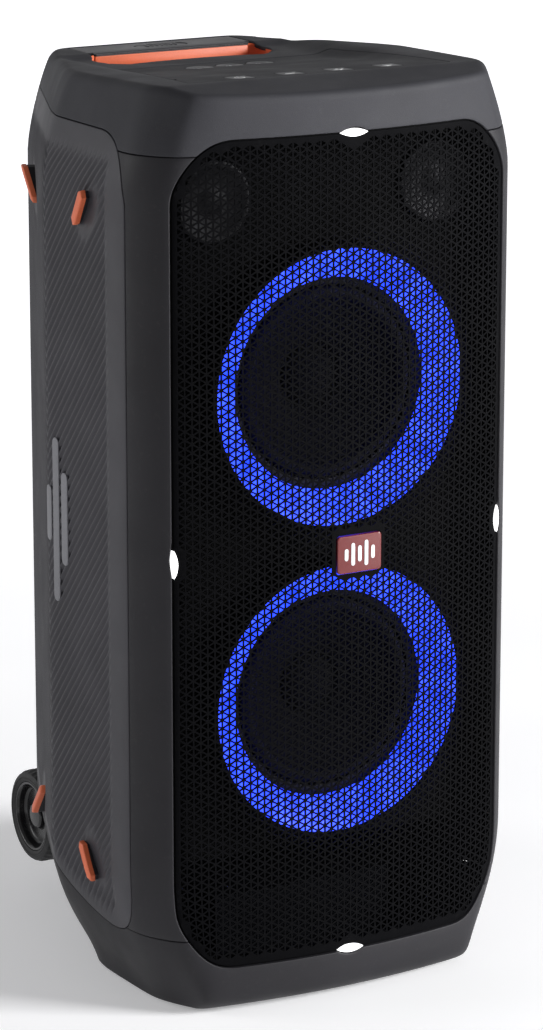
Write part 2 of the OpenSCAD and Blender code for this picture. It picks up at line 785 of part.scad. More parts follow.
// Rubber flap over the connectors, hinged along its lower edge
door_half_x = 51.6;
door_z0 = 521;
door_z1 = 604.2;
door_t = 2.4;
door_y = body_d - 0.3 - door_t / 2;
module io_door() {
    color("#303033") place() union() {
        rod_x(door_y, door_z0 + door_t / 2, door_t / 2, -door_half_x, door_half_x);
        translate([-door_half_x, door_y - door_t / 2, door_z0 + door_t / 2])
            cube([2 * door_half_x, door_t, door_z1 - door_z0 - door_t / 2]);
    }
}
module inlet_block(d) {
    rounded_block(17 + d, inlet_z - 12 - d, inlet_z + 12 + d, 5, body_d - 12, behind);
}
module sockets() {
    jack_bore = 3.2;
    aux_bore = 1.8;
    color("#17171a") place() {
        for (z = knob_z) difference() {
            rod_y(jack_x, z, 7, io_floor_y - 22, io_floor_y + 4.5);
            rod_y(jack_x, z, jack_bore, io_floor_y - 18, behind);
        }
        difference() {
            rod_y(usb_x, 541, 4, io_floor_y - 12, io_floor_y + 4);
            rod_y(usb_x, 541, aux_bore, io_floor_y - 9, behind);
        }
        difference() {
            translate([usb_x - 7.5, io_floor_y - 12, 574.1]) cube([15, 16, 8]);
            translate([usb_x - 6, io_floor_y - 10, 575.6]) cube([12, 30, 5]);
        }
        difference() {
            intersection() {
                inlet_block(0);
                slab(0, body_d, 0, above);
            }
            for (side = [-1, 1]) rod_y(side * 4.3, inlet_z, 3.8, body_d - 9, behind);
        }
    }
}
tray_z = floor_z + skin_t + 2.1; // inner face of the base's floor
module battery_pack() {
    color("#20242e") place() union() {
        translate([-75, 72, tray_z]) cube([150, 78, 62]);
        translate([-70, 150, tray_z]) cube([36, 6, 18]);
    }
}
module power_supply() {
    color("olive") place() union() {
        translate([-60, 176, tray_z]) cube([120, 82, 4]);
        for (x = [-45, -5, 30]) translate([x, 190, tray_z + 3]) cube([22, 40, 26]);
    }
}
// Circuit board with its finned heat sink, on the rear wall
module amplifier() {
    fins = 8;
    fin_pitch = 11;
    sink_z0 = 420;
    color("darkgray") place() union() {
        translate([-50, 311, 412]) cube([100, 4.6, 88]);
        for (i = [0 : fins - 1])
            translate([(i - (fins - 1) / 2) * fin_pitch - 1, 288, sink_z0])
                cube([2, 24, 72]);
    }
}
module rear_screws() {
    color("#3a3a3d") place() for (p = screw_places)
        turned_y(p[0], p[1], [[0, 309], [1.5, 309], [1.5, body_d - 1.9],
            [3.2, body_d - 1.9], [3.2, body_d - 0.3], [1.6, body_d - 0.3],
            [1.6, body_d - 1.2], [0, body_d - 1.2]]);
}

front_posts();
hood();
base();
inner_cabinet();
rear_cover();
side_panel_left();
side_panel_right();
grille();
baffle();
light_ring_upper();
light_ring_lower();
led_boards();
woofer_basket_upper();
woofer_basket_lower();
woofer_magnet_upper();
woofer_magnet_lower();
woofer_cone_upper();
woofer_cone_lower();
woofer_surround_upper();
woofer_surround_lower();
dust_cap_upper();
dust_cap_lower();
tweeter_left();
tweeter_right();
strobe_top();
strobe_bottom();
strobe_left();
strobe_right();
badge();
bumpers_left();
bumpers_right();
control_panel();
light_button();
bass_button();
pairing_button();
power_key();
volume_down_key();
volume_up_key();
play_key();
handle_well();
handle_sleeves();
handle_tubes();
handle_grip();
handle_release();
wheel_tyre_left();
wheel_tyre_right();
wheel_hub_left();
wheel_hub_right();
axle();
port_tube();
io_panel();
io_door();
mic_knob();
guitar_knob();
sockets();
battery_pack();
amplifier();
power_supply();
rear_screws();
feet();
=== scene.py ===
import math

import bpy
import numpy as np
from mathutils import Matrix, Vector, geometry


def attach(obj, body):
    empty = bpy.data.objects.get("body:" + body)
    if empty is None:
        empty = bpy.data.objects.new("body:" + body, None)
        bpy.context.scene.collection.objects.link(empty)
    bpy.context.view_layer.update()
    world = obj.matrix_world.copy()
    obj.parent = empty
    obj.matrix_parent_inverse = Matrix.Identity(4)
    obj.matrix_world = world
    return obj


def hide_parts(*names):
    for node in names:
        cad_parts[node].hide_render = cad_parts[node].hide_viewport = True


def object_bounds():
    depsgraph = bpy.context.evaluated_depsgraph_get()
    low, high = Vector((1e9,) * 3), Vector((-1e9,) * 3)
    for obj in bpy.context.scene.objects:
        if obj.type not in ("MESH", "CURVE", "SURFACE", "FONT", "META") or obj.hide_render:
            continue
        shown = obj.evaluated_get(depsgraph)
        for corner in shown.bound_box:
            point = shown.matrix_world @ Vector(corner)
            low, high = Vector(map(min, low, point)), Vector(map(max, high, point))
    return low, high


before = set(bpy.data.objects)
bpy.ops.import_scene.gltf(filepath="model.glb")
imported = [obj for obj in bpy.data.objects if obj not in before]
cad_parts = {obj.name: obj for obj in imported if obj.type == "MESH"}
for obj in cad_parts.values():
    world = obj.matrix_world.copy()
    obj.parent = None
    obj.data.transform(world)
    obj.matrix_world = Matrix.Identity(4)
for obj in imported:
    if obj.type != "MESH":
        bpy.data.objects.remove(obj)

AT_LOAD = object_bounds()

# Cabinet measures in millimetres. x is across, y is depth from the front face, z is up.
FRONT_Y = AT_LOAD[0].y * 1000
HALF_W, BODY_D = 163, 322
CROWN_R, CORNER_X = 503, 137
RIDGE_Y = 169
AHEAD_LEAN, BEHIND_LEAN = 0.03, 0.4      # how the half width falls ahead of and behind the ridge
TOP_Z, TOP_RIDGE_Y, REAR_RISE_Y = 687, 40, 274
HOOD_Z, BASE_Z, SEAM = 640, 61, 0.25
FOOT_Z = 2.5
SKIN_T = 2.9
GRILLE_X, GRILLE_Z0, GRILLE_Z1, GRILLE_R = 138, 38, 651, 46
LENS_X, LENS_Z = GRILLE_X - 2, 347         # where the side strobe lenses sit
UPPER_Z, LOWER_Z = 462, 228                # centres of the two woofers and their light rings
BADGE_X = 5.7                              # middle of the badge on the grille
FOOT_FALL, FOOT_SPAN = 38, 112             # how far a side falls away at its foot
FOOT_LIMIT, FOOT_BEND = 30, 2.1
FRONT_FALL, REAR_FALL, TOP_SPAN = 23, 20.5, 75
WELL_X, WELL_Y0, WELL_Y1, WELL_R = 62, 254, 263, 12   # centres and radius of the well's corners
REAR_Y0 = 300.5                            # where the rear cover starts
TAU = 2 * math.pi


# ---------------------------------------------------------------- small maths

def smooth(a, b, v):
    t = np.clip((np.asarray(v, float) - a) / (b - a), 0, 1)
    return t * t * (3 - 2 * t)


def bezier(a, b, c, n):
    t = np.linspace(0, 1, n + 1)[:, None]
    a, b, c = (np.asarray(p, float) for p in (a, b, c))
    return a * (1 - t) ** 2 + 2 * b * t * (1 - t) + c * t * t


def arc(cx, cz, r, a0, a1, n):
    """Points on a circle between two angles in degrees."""
    a = np.radians(np.linspace(a0, a1, n + 1))
    return np.column_stack([cx + r * np.cos(a), cz + r * np.sin(a)])


def inset(loop, d):
    """Anticlockwise loop with every edge moved inwards by d."""
    edge = np.roll(loop, -1, 0) - loop
    edge = edge / np.maximum(np.linalg.norm(edge, axis=1), 1e-9)[:, None]
    after = np.column_stack([edge[:, 1], -edge[:, 0]])
    before = np.roll(after, 1, 0)
    share = np.maximum(1 + (before * after).sum(1), 0.4)
    return loop - d * (before + after) / share[:, None]


def fine(loop, step, closed=True):
    """The loop with points added so that no edge is longer than step."""
    loop = np.asarray(loop, float)
    ends = np.roll(loop, -1, 0) if closed else loop[1:]
    out = []
    for a, b in zip(loop, ends):
        n = max(1, math.ceil(np.linalg.norm(b - a) / step))
        out += [a + (b - a) * i / n for i in range(n)]
    return np.array(out if closed else out + [loop[-1]])


def rounded(x0, y0, x1, y1, r, n=8):
    """Rectangle with round corners, anticlockwise."""
    return np.vstack([arc(x1 - r, y0 + r, r, -90, 0, n), arc(x1 - r, y1 - r, r, 0, 90, n),
                      arc(x0 + r, y1 - r, r, 90, 180, n), arc(x0 + r, y0 + r, r, 180, 270, n)])


def racetrack(half_x, y, r, n=16):
    return np.vstack([arc(half_x, y, r, -90, 90, n), arc(-half_x, y, r, 90, 270, n)])


def circle(x, y, r, n=40):
    return arc(x, y, r, 0, 360, n)[:-1]


def lens(half_w, half_h, n=12):
    """Almond outline, anticlockwise."""
    r = (half_w ** 2 + half_h ** 2) / (2 * half_h)
    a = math.degrees(math.asin(half_w / r))
    low = arc(0, r - half_h, r, 270 - a, 270 + a, n)[:-1]
    return np.vstack([low, -low])


def inside(points, loop):
    """Which points lie inside the loop."""
    x, y = points[:, 0][:, None], points[:, 1][:, None]
    a, b = loop, np.roll(loop, -1, 0)
    crosses = (a[:, 1] > y) != (b[:, 1] > y)
    at = a[:, 0] + (y - a[:, 1]) * (b[:, 0] - a[:, 0]) / np.where(b[:, 1] == a[:, 1], 1e-9, b[:, 1] - a[:, 1])
    return (crosses & (x < at)).sum(1) % 2 == 1


def distance(points, loop, closed=True):
    """Distance from each point to the nearest edge of the loop."""
    a = loop if closed else loop[:-1]
    d = (np.roll(loop, -1, 0) if closed else loop[1:]) - a
    out = np.full(len(points), 1e9)
    for i in range(0, len(points), 4000):
        p = points[i:i + 4000, None, :] - a
        t = np.clip((p * d).sum(2) / np.maximum((d * d).sum(1), 1e-12), 0, 1)
        out[i:i + 4000] = np.sqrt(((p - t[..., None] * d) ** 2).sum(2).min(1))
    return out


# ---------------------------------------------------------------- cabinet surface

def plan_outline():
    """Half outline from above, from the front centre to the rear centre, in even steps."""
    x = np.linspace(0, CORNER_X, 60)
    front = np.column_stack([x, x * x / (2 * CROWN_R)])
    corner = bezier((139, 21), (151.5, 31.5), (159.5, 52), 20)
    side = bezier((159.5, 52), (162.5, 125), (HALF_W, RIDGE_Y), 16)[1:]
    rear = bezier((109.4, 303), (101.4, 321), (88, BODY_D), 14)
    loop = np.vstack([front, corner, side, rear, [[0, BODY_D]]])
    far = np.concatenate([[0], np.cumsum(np.linalg.norm(np.diff(loop, axis=0), axis=1))])
    s = np.linspace(0, far[-1], round(far[-1] / PLAN_STEP))
    return np.column_stack([np.interp(s, far, loop[:, k]) for k in (0, 1)])


def softened(loop, radius):
    """The half outline with its bends rounded over about the given radius."""
    n = round(3 * radius / PLAN_STEP)
    bell = np.exp(-0.5 * (np.arange(-n, n + 1) * PLAN_STEP / radius) ** 2)
    x, y = loop.T
    x = np.concatenate([-x[n:0:-1], x, -x[-2:-n - 2:-1]])
    y = np.concatenate([y[n:0:-1], y, y[-2:-n - 2:-1]])
    return np.column_stack([np.convolve(v, bell / bell.sum(), "valid") for v in (x, y)])


PLAN_STEP = 0.75
PLAN = softened(plan_outline(), 6)
REARWARD = smooth(110, 230, PLAN[:, 1])[:, None]
FOOT_PLAN = softened(plan_outline(), 14) * (1 - REARWARD) + softened(plan_outline(), 30) * REARWARD
PLAN_S = np.arange(len(PLAN)) * PLAN_STEP
HALF_S = PLAN_S[-1]                       # from the front centre round to the rear centre


def plan(s, outline=PLAN):
    """Point of the cabinet's outline, at the distance s round it from the front centre."""
    s = (np.asarray(s, float) + HALF_S) % (2 * HALF_S) - HALF_S
    return np.sign(s) * np.interp(abs(s), PLAN_S, outline[:, 0]), np.interp(abs(s), PLAN_S, outline[:, 1])


def s_at_y(y):
    return np.interp(y, PLAN[:-1, 1], PLAN_S[:-1])


def s_at_x(x):
    """Distance round the outline of a point on the front or the front corner."""
    rising = PLAN[:, 1] <= RIDGE_Y
    return np.sign(x) * np.interp(np.abs(x), PLAN[rising, 0], PLAN_S[rising])


DISH_Y = np.array([TOP_RIDGE_Y, 70, 110, 150, 185, 215, REAR_RISE_Y - 9, REAR_RISE_Y - 1, BODY_D])
DISH_DROP = np.array([0, 1.4, 5, 9.4, 12.4, 13.3, 13.3, 10.2, 10.7])
RIM_DROP = 0.036                           # fall of the side rims towards the rear, mm per mm


def top_height(y, x=0.0):
    """Height of the top: a dish in the middle between level rims at the sides."""
    margin = 681 + (y - 4) / 6
    dish = np.interp(y, DISH_Y, DISH_DROP)
    rim = np.maximum(y - TOP_RIDGE_Y, 0) * RIM_DROP
    share = smooth(84, 112, abs(np.asarray(x, float)))
    return np.where(y < TOP_RIDGE_Y, margin, TOP_Z - dish * (1 - share) - rim * share)


SCOOP_DEPTH = 2.4                          # of the step at the scoop's front edge


def scoop_edge(x):
    """Depth at which the finger scoop ahead of the handle well starts."""
    return 210 + 32 * (x / 73) ** 2


def scoop(x, y):
    """Depth of the finger scoop: a step, then a slope up to the well."""
    into = y - scoop_edge(x)
    across = 1 - smooth(62, 74, abs(x))
    slope = 1 - 0.6 * np.clip(into / 32, 0, 1)
    return SCOOP_DEPTH * smooth(0, 1.5, into) * slope * across * (1 - smooth(246, 258, y))


def rear_y(z):
    """Depth of the rear face, tucked in at the foot."""
    return BODY_D - 40 * np.exp(-(z - FOOT_Z) / 11)


def wall(s, z):
    """Points of the cabinet's upright surface."""
    x0, y0 = plan(s)
    x1, y1 = plan(s, FOOT_PLAN)
    z = np.asarray(z, float) + 0 * x0
    foot = 1 - smooth(10, 105, z)
    behind = y0 > RIDGE_Y
    half = HALF_W - abs(y0 - RIDGE_Y) * np.where(behind, BEHIND_LEAN, AHEAD_LEAN)
    h = top_height(y0, 160) - z
    steep = FRONT_FALL + (REAR_FALL - FRONT_FALL) * smooth(RIDGE_Y, RIDGE_Y + 25, y0)
    high = -steep * np.clip(1 - h / TOP_SPAN, 0, 1) ** 1.5
    low = FOOT_FALL * np.clip(1 - z / FOOT_SPAN, 0, 1) ** FOOT_BEND
    low = -low / (1 + (low / FOOT_LIMIT) ** 8) ** 0.125
    fall = high + low
    y_front = 18 * np.exp(-(z - FOOT_Z) / 6)
    y_rear = rear_y(z) - 4 * np.exp(-np.maximum(h, 0) / 7)
    share = np.where(y0 < 100, np.sign(x0) * smooth(100, 160, abs(x0)), x0 / half)
    x, y = x0 + (x1 - x0) * foot, y0 + (y1 - y0) * foot
    return np.column_stack([x + fall * share, y_front + y * (y_rear - y_front) / BODY_D, z])


def wall_normals(s, z):
    out = np.cross(wall(s + 0.5, z) - wall(s - 0.5, z), wall(s, z + 0.5) - wall(s, z - 0.5))
    return out / np.linalg.norm(out, axis=1)[:, None]


def top(xy):
    """Points of the cabinet's top surface."""
    return np.column_stack([xy, top_height(xy[:, 1], xy[:, 0]) - scoop(xy[:, 0], xy[:, 1])])


# ---------------------------------------------------------------- meshes

RIM = np.array([0, 0.1, 0.32, 0.65, 1])   # rings of a rounded edge, as shares of its radius


def rim_depth(r):
    return r * (1 - np.sqrt(1 - (1 - RIM) ** 2))


def region(outer, holes, grid, r, hole_r=None, warp=None, open_rim=None):
    """Triangles that fill outer and leave out the holes, with rings of points along the edges.

    Returns points, triangles and each point's depth below the surface for a rounded edge.
    With open_rim the outer loop itself stays plain, and the rings follow that open line.
    """
    hole_r = r if hole_r is None else hole_r
    points, depths, edges = [], [], []

    def ring(loop, depth, closed=True):
        start = sum(len(p) for p in points)
        points.append(loop)
        depths.append(np.full(len(loop), depth))
        n = len(loop)
        edges.extend((start + i, start + (i + 1) % n) for i in range(n if closed else n - 1))

    ring(outer, rim_depth(r)[0] if r and open_rim is None else 0)
    if r and open_rim is None:
        for share, depth in list(zip(RIM, rim_depth(r)))[1:]:
            ring(inset(outer, share * r), depth)
    if open_rim is not None:
        for share, depth in list(zip(RIM, rim_depth(r)))[1:]:
            ring(open_rim - [0, share * r], depth, False)
    for hole in holes:
        for share, depth in zip(RIM, rim_depth(hole_r)):
            ring(inset(hole, -share * hole_r), depth)
    keep = inside(grid, outer) & (distance(grid, outer) > r + 0.8)
    for hole in holes:
        keep &= ~inside(grid, hole)
        keep[keep] = distance(grid[keep], hole) > hole_r + 0.6
    points.append(grid[keep])
    depths.append(np.zeros(keep.sum()))
    flat, depth = np.vstack(points), np.concatenate(depths)
    shown = flat if warp is None else warp(flat)
    found = geometry.delaunay_2d_cdt([Vector(p) for p in shown], edges, [], 0, 1e-5)
    back = np.array([o[0] if o else -1 for o in found[3]])
    tris = back[np.array([f for f in found[2] if len(f) == 3])]
    tris = tris[(tris >= 0).all(1)]
    middle = flat[tris].mean(1)
    good = inside(middle, outer)
    for hole in holes:
        good &= ~inside(middle, hole)
    return flat, tris[good], depth


def spread(x0, x1, step):
    return np.linspace(x0, x1, max(2, round((x1 - x0) / step) + 1))


def lattice(xs, ys):
    return np.array(np.meshgrid(xs, ys)).reshape(2, -1).T


def strip(rows, cols, closed=False, start=0):
    """Triangles of a grid of points, numbered row by row."""
    n = cols if closed else cols - 1
    i, j = np.meshgrid(np.arange(rows - 1), np.arange(n), indexing="ij")
    a, b = i * cols + j, i * cols + (j + 1) % cols
    c, d = a + cols, b + cols
    return start + np.concatenate([np.stack([a, b, d], -1).reshape(-1, 3),
                                   np.stack([a, d, c], -1).reshape(-1, 3)])


def unit(v):
    return v / np.maximum(np.linalg.norm(v, axis=1), 1e-12)[:, None]


def normals(points, tris):
    """Normal at each point; one that strays from its neighbours' takes their mean instead."""
    face = np.cross(points[tris[:, 1]] - points[tris[:, 0]], points[tris[:, 2]] - points[tris[:, 0]])
    total = np.zeros_like(points)
    for k in range(3):
        np.add.at(total, tris[:, k], face)
    out = unit(total)
    for _ in range(3):
        near = np.zeros_like(points)
        for k in range(3):
            np.add.at(near, tris[:, k], out[tris[:, k - 1]] + out[tris[:, k - 2]])
        near = unit(near)
        stray = (out * near).sum(1) < 0.2
        out[stray] = near[stray]
    return out


def border(tris):
    """Directed edges that only one triangle uses."""
    edges = np.vstack([tris[:, [0, 1]], tris[:, [1, 2]], tris[:, [2, 0]]])
    both = set(map(tuple, edges.tolist()))
    return np.array([e for e in edges.tolist() if (e[1], e[0]) not in both])


def thicken(points, tris, depth, thickness, out=None):
    """Closed solid whose front lies depth under a surface and whose back lies thickness under it."""
    out = normals(points, tris) if out is None else out
    front = points - out * np.asarray(depth)[:, None]
    back = points - out * thickness
    n, rim = len(points), border(tris)
    faces = tris.tolist() + (tris[:, ::-1] + n).tolist()
    faces += np.column_stack([rim[:, 1], rim[:, 0], rim[:, 0] + n, rim[:, 1] + n]).tolist()
    return np.vstack([front, back]), faces


def loft(loops, cap0=True, cap1=True):
    """Solid through loops of equal length. The first is its near end, the last its far end."""
    n, m = len(loops[0]), len(loops)
    faces = []
    for k in range(m - 1):
        for i in range(n):
            j = (i + 1) % n
            faces.append((k * n + i, k * n + j, (k + 1) * n + j, (k + 1) * n + i))
    if cap0:
        faces.append(tuple(range(n - 1, -1, -1)))
    if cap1:
        faces.append(tuple((m - 1) * n + i for i in range(n)))
    return np.vstack(loops), faces


def turned(profile, centre, axis, n=96):
    """Solid turned about an axis: "y" points to the rear, "x" and "-x" to the sides, "z" up.

    profile is a closed list of (radius, distance along the axis).
    """
    a = np.linspace(0, TAU, n, endpoint=False)
    rows = []
    for radius, along in profile:
        c, s, t = radius * np.cos(a), radius * np.sin(a), np.full(n, float(along))
        shape = {"y": (c, t, s), "x": (t, s, c), "-x": (-t, c, s), "z": (s, c, t)}[axis]
        rows.append(np.column_stack(shape) + centre)
    faces = []
    m = len(profile)
    for k in range(m):
        for i in range(n):
            j, up = (i + 1) % n, (k + 1) % m
            quad = (k * n + i, k * n + j, up * n + j, up * n + i)
            flat = [q for q in range(2) if profile[(k, up)[q]][0] < 1e-6]
            if len(flat) == 2:
                continue
            faces.append(quad)
    return np.vstack(rows), faces


def round_corners(profile, r=0.5, n=3):
    """Closed profile with its corners rounded, but not those on the axis."""
    p = np.asarray(profile, float)
    out = []
    for i, b in enumerate(p):
        a, c = p[i - 1], p[(i + 1) % len(p)]
        la, lc = np.linalg.norm(a - b), np.linalg.norm(c - b)
        if b[0] < 1e-6 or min(la, lc) < 1e-6:
            out.append(b[None])
            continue
        k = min(r, 0.4 * la, 0.4 * lc)
        out.append(bezier(b + (a - b) / la * k, b, b + (c - b) / lc * k, n))
    return np.vstack(out).tolist()


def piece(name, points, faces, body, slot, material, *nodes, angle=38, weld=True):
    """Makes a mesh from points in millimetres and hangs it on its body."""
    mesh = bpy.data.meshes.new(name)
    world = (np.asarray(points, float) + [0, FRONT_Y, 0]) / 1000
    mesh.from_pydata(world.tolist(), [], [tuple(f) for f in faces])
    mesh.update()
    if weld:
        clean(mesh)
    mesh.polygons.foreach_set("use_smooth", [True] * len(mesh.polygons))
    mesh.set_sharp_from_angle(angle=math.radians(angle))
    mesh.materials.append(material)
    obj = bpy.data.objects.new(name, mesh)
    bpy.context.scene.collection.objects.link(obj)
    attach(obj, body)
    if nodes:
        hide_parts(*nodes)
    return obj


def clean(mesh):
    """Welds points that coincide, drops faces without area and turns the faces outwards."""
    import bmesh
    bm = bmesh.new()
    bm.from_mesh(mesh)
    bmesh.ops.remove_doubles(bm, verts=bm.verts, dist=2e-6)
    bmesh.ops.dissolve_degenerate(bm, dist=1e-7, edges=bm.edges)
    bmesh.ops.recalc_face_normals(bm, faces=bm.faces)
    bm.to_mesh(mesh)
    bm.free()


# ---------------------------------------------------------------- materials

class Nodes:
    """Small helper for building a material's node tree."""

    def __init__(self, name):
        self.material = bpy.data.materials.new(name)
        self.material.use_nodes = True
        self.tree = self.material.node_tree
        self.shader = self.tree.nodes["Principled BSDF"]
        self.place = self.add("ShaderNodeTexCoord").outputs["Object"]

    def add(self, kind, inputs=(), **settings):
        node = self.tree.nodes.new(kind)
        for key, value in settings.items():
            setattr(node, key, value)
        for key, value in dict(inputs).items():
            if hasattr(value, "is_output"):
                self.tree.links.new(value, node.inputs[key])
            else:
                node.inputs[key].default_value = value
        return node

    def noise(self, scale, detail=3, stretch=(1, 1, 1)):
        at = self.add("ShaderNodeMapping", {"Vector": self.place, "Scale": stretch}).outputs[0]
        return self.add("ShaderNodeTexNoise", {"Vector": at, "Scale": scale, "Detail": detail}).outputs[0]

    def cells(self, scale):
        return self.add("ShaderNodeTexVoronoi", {"Vector": self.place, "Scale": scale}).outputs["Distance"]

    def ramp(self, value, low, high, out0=0.0, out1=1.0):
        return self.add("ShaderNodeMapRange", {"Value": value, "From Min": low, "From Max": high,
                                               "To Min": out0, "To Max": out1}).outputs[0]

    def math(self, operation, a, b):
        return self.add("ShaderNodeMath", {0: a, 1: b}, operation=operation).outputs[0]

    def mix(self, share, a, b):
        return self.add("ShaderNodeMix", {0: share, 6: a, 7: b}, data_type="RGBA").outputs[2]

    def set(self, key, value):
        if hasattr(value, "is_output"):
            self.tree.links.new(value, self.shader.inputs[key])
        else:
            self.shader.inputs[key].default_value = value


def rgba(colour, k=1.0):
    """sRGB colour in 0-255 as a linear colour, brightened by k."""
    lin = [(c / 255 / 12.92 if c < 10 else ((c / 255 + 0.055) / 1.055) ** 2.4) * k for c in colour]
    return (*[min(1.0, c) for c in lin], 1.0)


def finish(name, colour, rough=0.55, metal=0.0, grain=1400, bump=0.12, mottle=0.18, wear=0.35,
           coat=0.0, dust=0.03, spec=0.5, brushed=None):
    """Finish with uneven colour, fine grain, uneven gloss and lighter worn edges."""
    n = Nodes(name)
    patches = n.ramp(n.noise(9, 4), 0.3, 0.7)
    body = n.mix(patches, rgba(colour, 1 - mottle), rgba(colour, 1 + mottle))
    speck = n.ramp(n.noise(grain, 2), 0.35, 0.65)
    body = n.mix(n.math("MULTIPLY", speck, 0.25), body, rgba(colour, 1.6))
    edge = n.ramp(n.add("ShaderNodeNewGeometry").outputs["Pointiness"], 0.53, 0.62)
    edge = n.math("MULTIPLY", edge, n.ramp(n.noise(60, 3), 0.35, 0.75, 0, wear))
    body = n.mix(edge, body, rgba(colour, 3.0))
    lint = n.math("MULTIPLY", n.ramp(n.noise(240, 5), 0.6, 0.8), dust)
    body = n.mix(lint, body, rgba((150, 148, 144)))
    n.set("Base Color", body)
    gloss = n.math("ADD", n.ramp(n.noise(30, 5), 0.25, 0.75, rough - 0.07, rough + 0.07),
                   n.math("MULTIPLY", lint, 0.6))
    n.set("Roughness", gloss)
    n.set("Metallic", metal)
    n.set("Coat Weight", coat)
    n.set("Specular IOR Level", spec)
    fine_grain = n.noise(brushed[0], 2, brushed[1]) if brushed else n.cells(grain)
    relief = n.add("ShaderNodeBump", {"Height": fine_grain, "Strength": bump, "Distance": 0.0004})
    n.set("Normal", relief.outputs[0])
    return n.material


def glowing(name, colour, strength, spots=None, core=(255, 255, 255)):
    """Lit diffuser. spots is (count, centre x, centre z in metres) of the lamps behind it."""
    n = Nodes(name)
    cloud = n.ramp(n.noise(55, 3), 0.3, 0.7, 0.75, 1.0)
    glow = cloud
    if spots:
        count, cx, cz = spots
        xyz = n.add("ShaderNodeSeparateXYZ", {0: n.place}).outputs
        angle = n.math("ARCTAN2", n.math("SUBTRACT", xyz[2], cz), n.math("SUBTRACT", xyz[0], cx))
        wave = n.math("COSINE", n.math("MULTIPLY", angle, float(count)), 0.0)
        glow = n.math("MULTIPLY", cloud, n.ramp(wave, -1, 1, 0.78, 1.1))
    n.set("Base Color", n.mix(cloud, rgba(colour, 0.8), rgba(colour)))
    n.set("Emission Color", n.mix(n.ramp(cloud, 0.75, 1, 0, 0.12), rgba(colour), rgba(core)))
    n.set("Emission Strength", n.math("MULTIPLY", glow, strength))
    n.set("Roughness", n.ramp(n.noise(120, 2), 0.3, 0.7, 0.3, 0.45))
    relief = n.add("ShaderNodeBump", {"Height": n.cells(900), "Strength": 0.1, "Distance": 0.0003})
    n.set("Normal", relief.outputs[0])
    return n.material


M = {
    "hood": finish("hood_plastic", (53, 53, 57), rough=0.6, grain=1700, bump=0.16, spec=0.16),
    # The shell plastic is the cabinet plastic made darker than the hood. This paints in the shade on the
    # front corner posts; the base, rear cover and bumper mounts share it.
    "shell_shade_darkened": finish("shell_plastic_painted_shade", (30, 29, 33), rough=0.56, grain=1700, bump=0.16, spec=0.3),
    "side": finish("side_plastic", (53, 52, 57), rough=0.5, grain=1600, bump=0.12, spec=0.35),
    "panel": finish("control_plastic", (44, 44, 48), rough=0.6, grain=1900, bump=0.1, spec=0.12),
    "grille": finish("grille_paint", (7, 7, 9), rough=0.7, grain=2200, bump=0.1, wear=0.1,
                     spec=0.04, dust=0.008),
    "inner": finish("inner_plastic", (9, 9, 10), rough=0.8, grain=900, bump=0.2, dust=0.01, spec=0.1),
    "orange": finish("orange_rubber", (214, 104, 66), rough=0.5, grain=1500, bump=0.1, wear=0.12, dust=0.04),
    "ring_u": glowing("ring_light_upper", (28, 60, 252), 3.0, (24, 0.0, UPPER_Z / 1000), (120, 140, 255)),
    "ring_l": glowing("ring_light_lower", (28, 60, 252), 3.0, (24, 0.0, LOWER_Z / 1000), (120, 140, 255)),
    "lamp": glowing("strobe_lens", (255, 255, 255), 1.5),
    "badge": finish("badge_red", (96, 11, 11), rough=0.4, coat=0.15, wear=0.1, dust=0.03),
    "white": finish("printed_white", (222, 222, 224), rough=0.5, wear=0.0, mottle=0.05, dust=0.02),
    "mark": finish("side_mark_grey", (104, 104, 109), rough=0.42, wear=0.1, bump=0.06),
    "button": finish("button_plastic", (40, 40, 44), rough=0.42, grain=1900, bump=0.08),
    "cone": finish("cone_paper", (13, 13, 15), rough=0.85, grain=700, bump=0.35, mottle=0.25,
                   wear=0.1, spec=0.15, dust=0.01),
    "rubber": finish("soft_rubber", (13, 13, 15), rough=0.75, grain=1200, bump=0.25, wear=0.15,
                     spec=0.2, dust=0.01),
    "basket": finish("driver_steel", (26, 26, 29), rough=0.5, metal=0.6, wear=0.5),
    "magnet": finish("magnet_ferrite", (74, 74, 78), rough=0.6, metal=0.3, grain=500, bump=0.3, wear=0.5),
    "board": finish("board_green", (30, 92, 58), rough=0.45, grain=900, bump=0.15, wear=0.2),
    "alloy": finish("tube_aluminium", (150, 151, 155), rough=0.3, metal=1.0, wear=0.2, dust=0.05, bump=0.1,
                    brushed=(500, (1, 1, 0.02))),
    "steel": finish("sleeve_steel", (92, 93, 97), rough=0.4, metal=0.9, wear=0.3, bump=0.1,
                    brushed=(500, (1, 1, 0.03))),
    "tyre": finish("tyre_rubber", (20, 20, 22), rough=0.6, grain=1100, bump=0.3, wear=0.3, dust=0.12),
    "hub": finish("hub_gloss", (14, 14, 17), rough=0.26, coat=0.3, bump=0.02, wear=0.1, dust=0.03),
    "battery": finish("battery_wrap", (11, 12, 17), rough=0.7, spec=0.1, bump=0.08, wear=0.2),
    "screw": finish("screw_black", (30, 30, 33), rough=0.4, metal=0.8, wear=0.7),
}


# ---------------------------------------------------------------- outer skins

def panel_outline(grow):
    """Outline of a side panel as (depth, height), anticlockwise."""
    loop = np.vstack([bezier((50.2, 103), (50.2, 59), (86, 56), 14),
                      bezier((92, 56), (128, 60), (172, 84), 12),
                      [(240, 92), (270, 98), (300, 111), (300, 651)],
                      bezier((96, 651), (58, 650), (50.2, 604), 16)])
    return inset(loop, -grow)


PANEL = panel_outline(0)
PANEL_LOW = PANEL[:31]                    # lower edge, from front to rear
PANEL_TOP = PANEL[-17:][::-1]             # upper front corner, from front to rear


def grille_edge(x, low):
    """Height of the grille opening's lower or upper edge at x."""
    over = np.clip(abs(x) - (GRILLE_X - GRILLE_R), 0, GRILLE_R)
    rise = GRILLE_R - np.sqrt(GRILLE_R ** 2 - over ** 2)
    return GRILLE_Z0 + rise if low else GRILLE_Z1 - rise


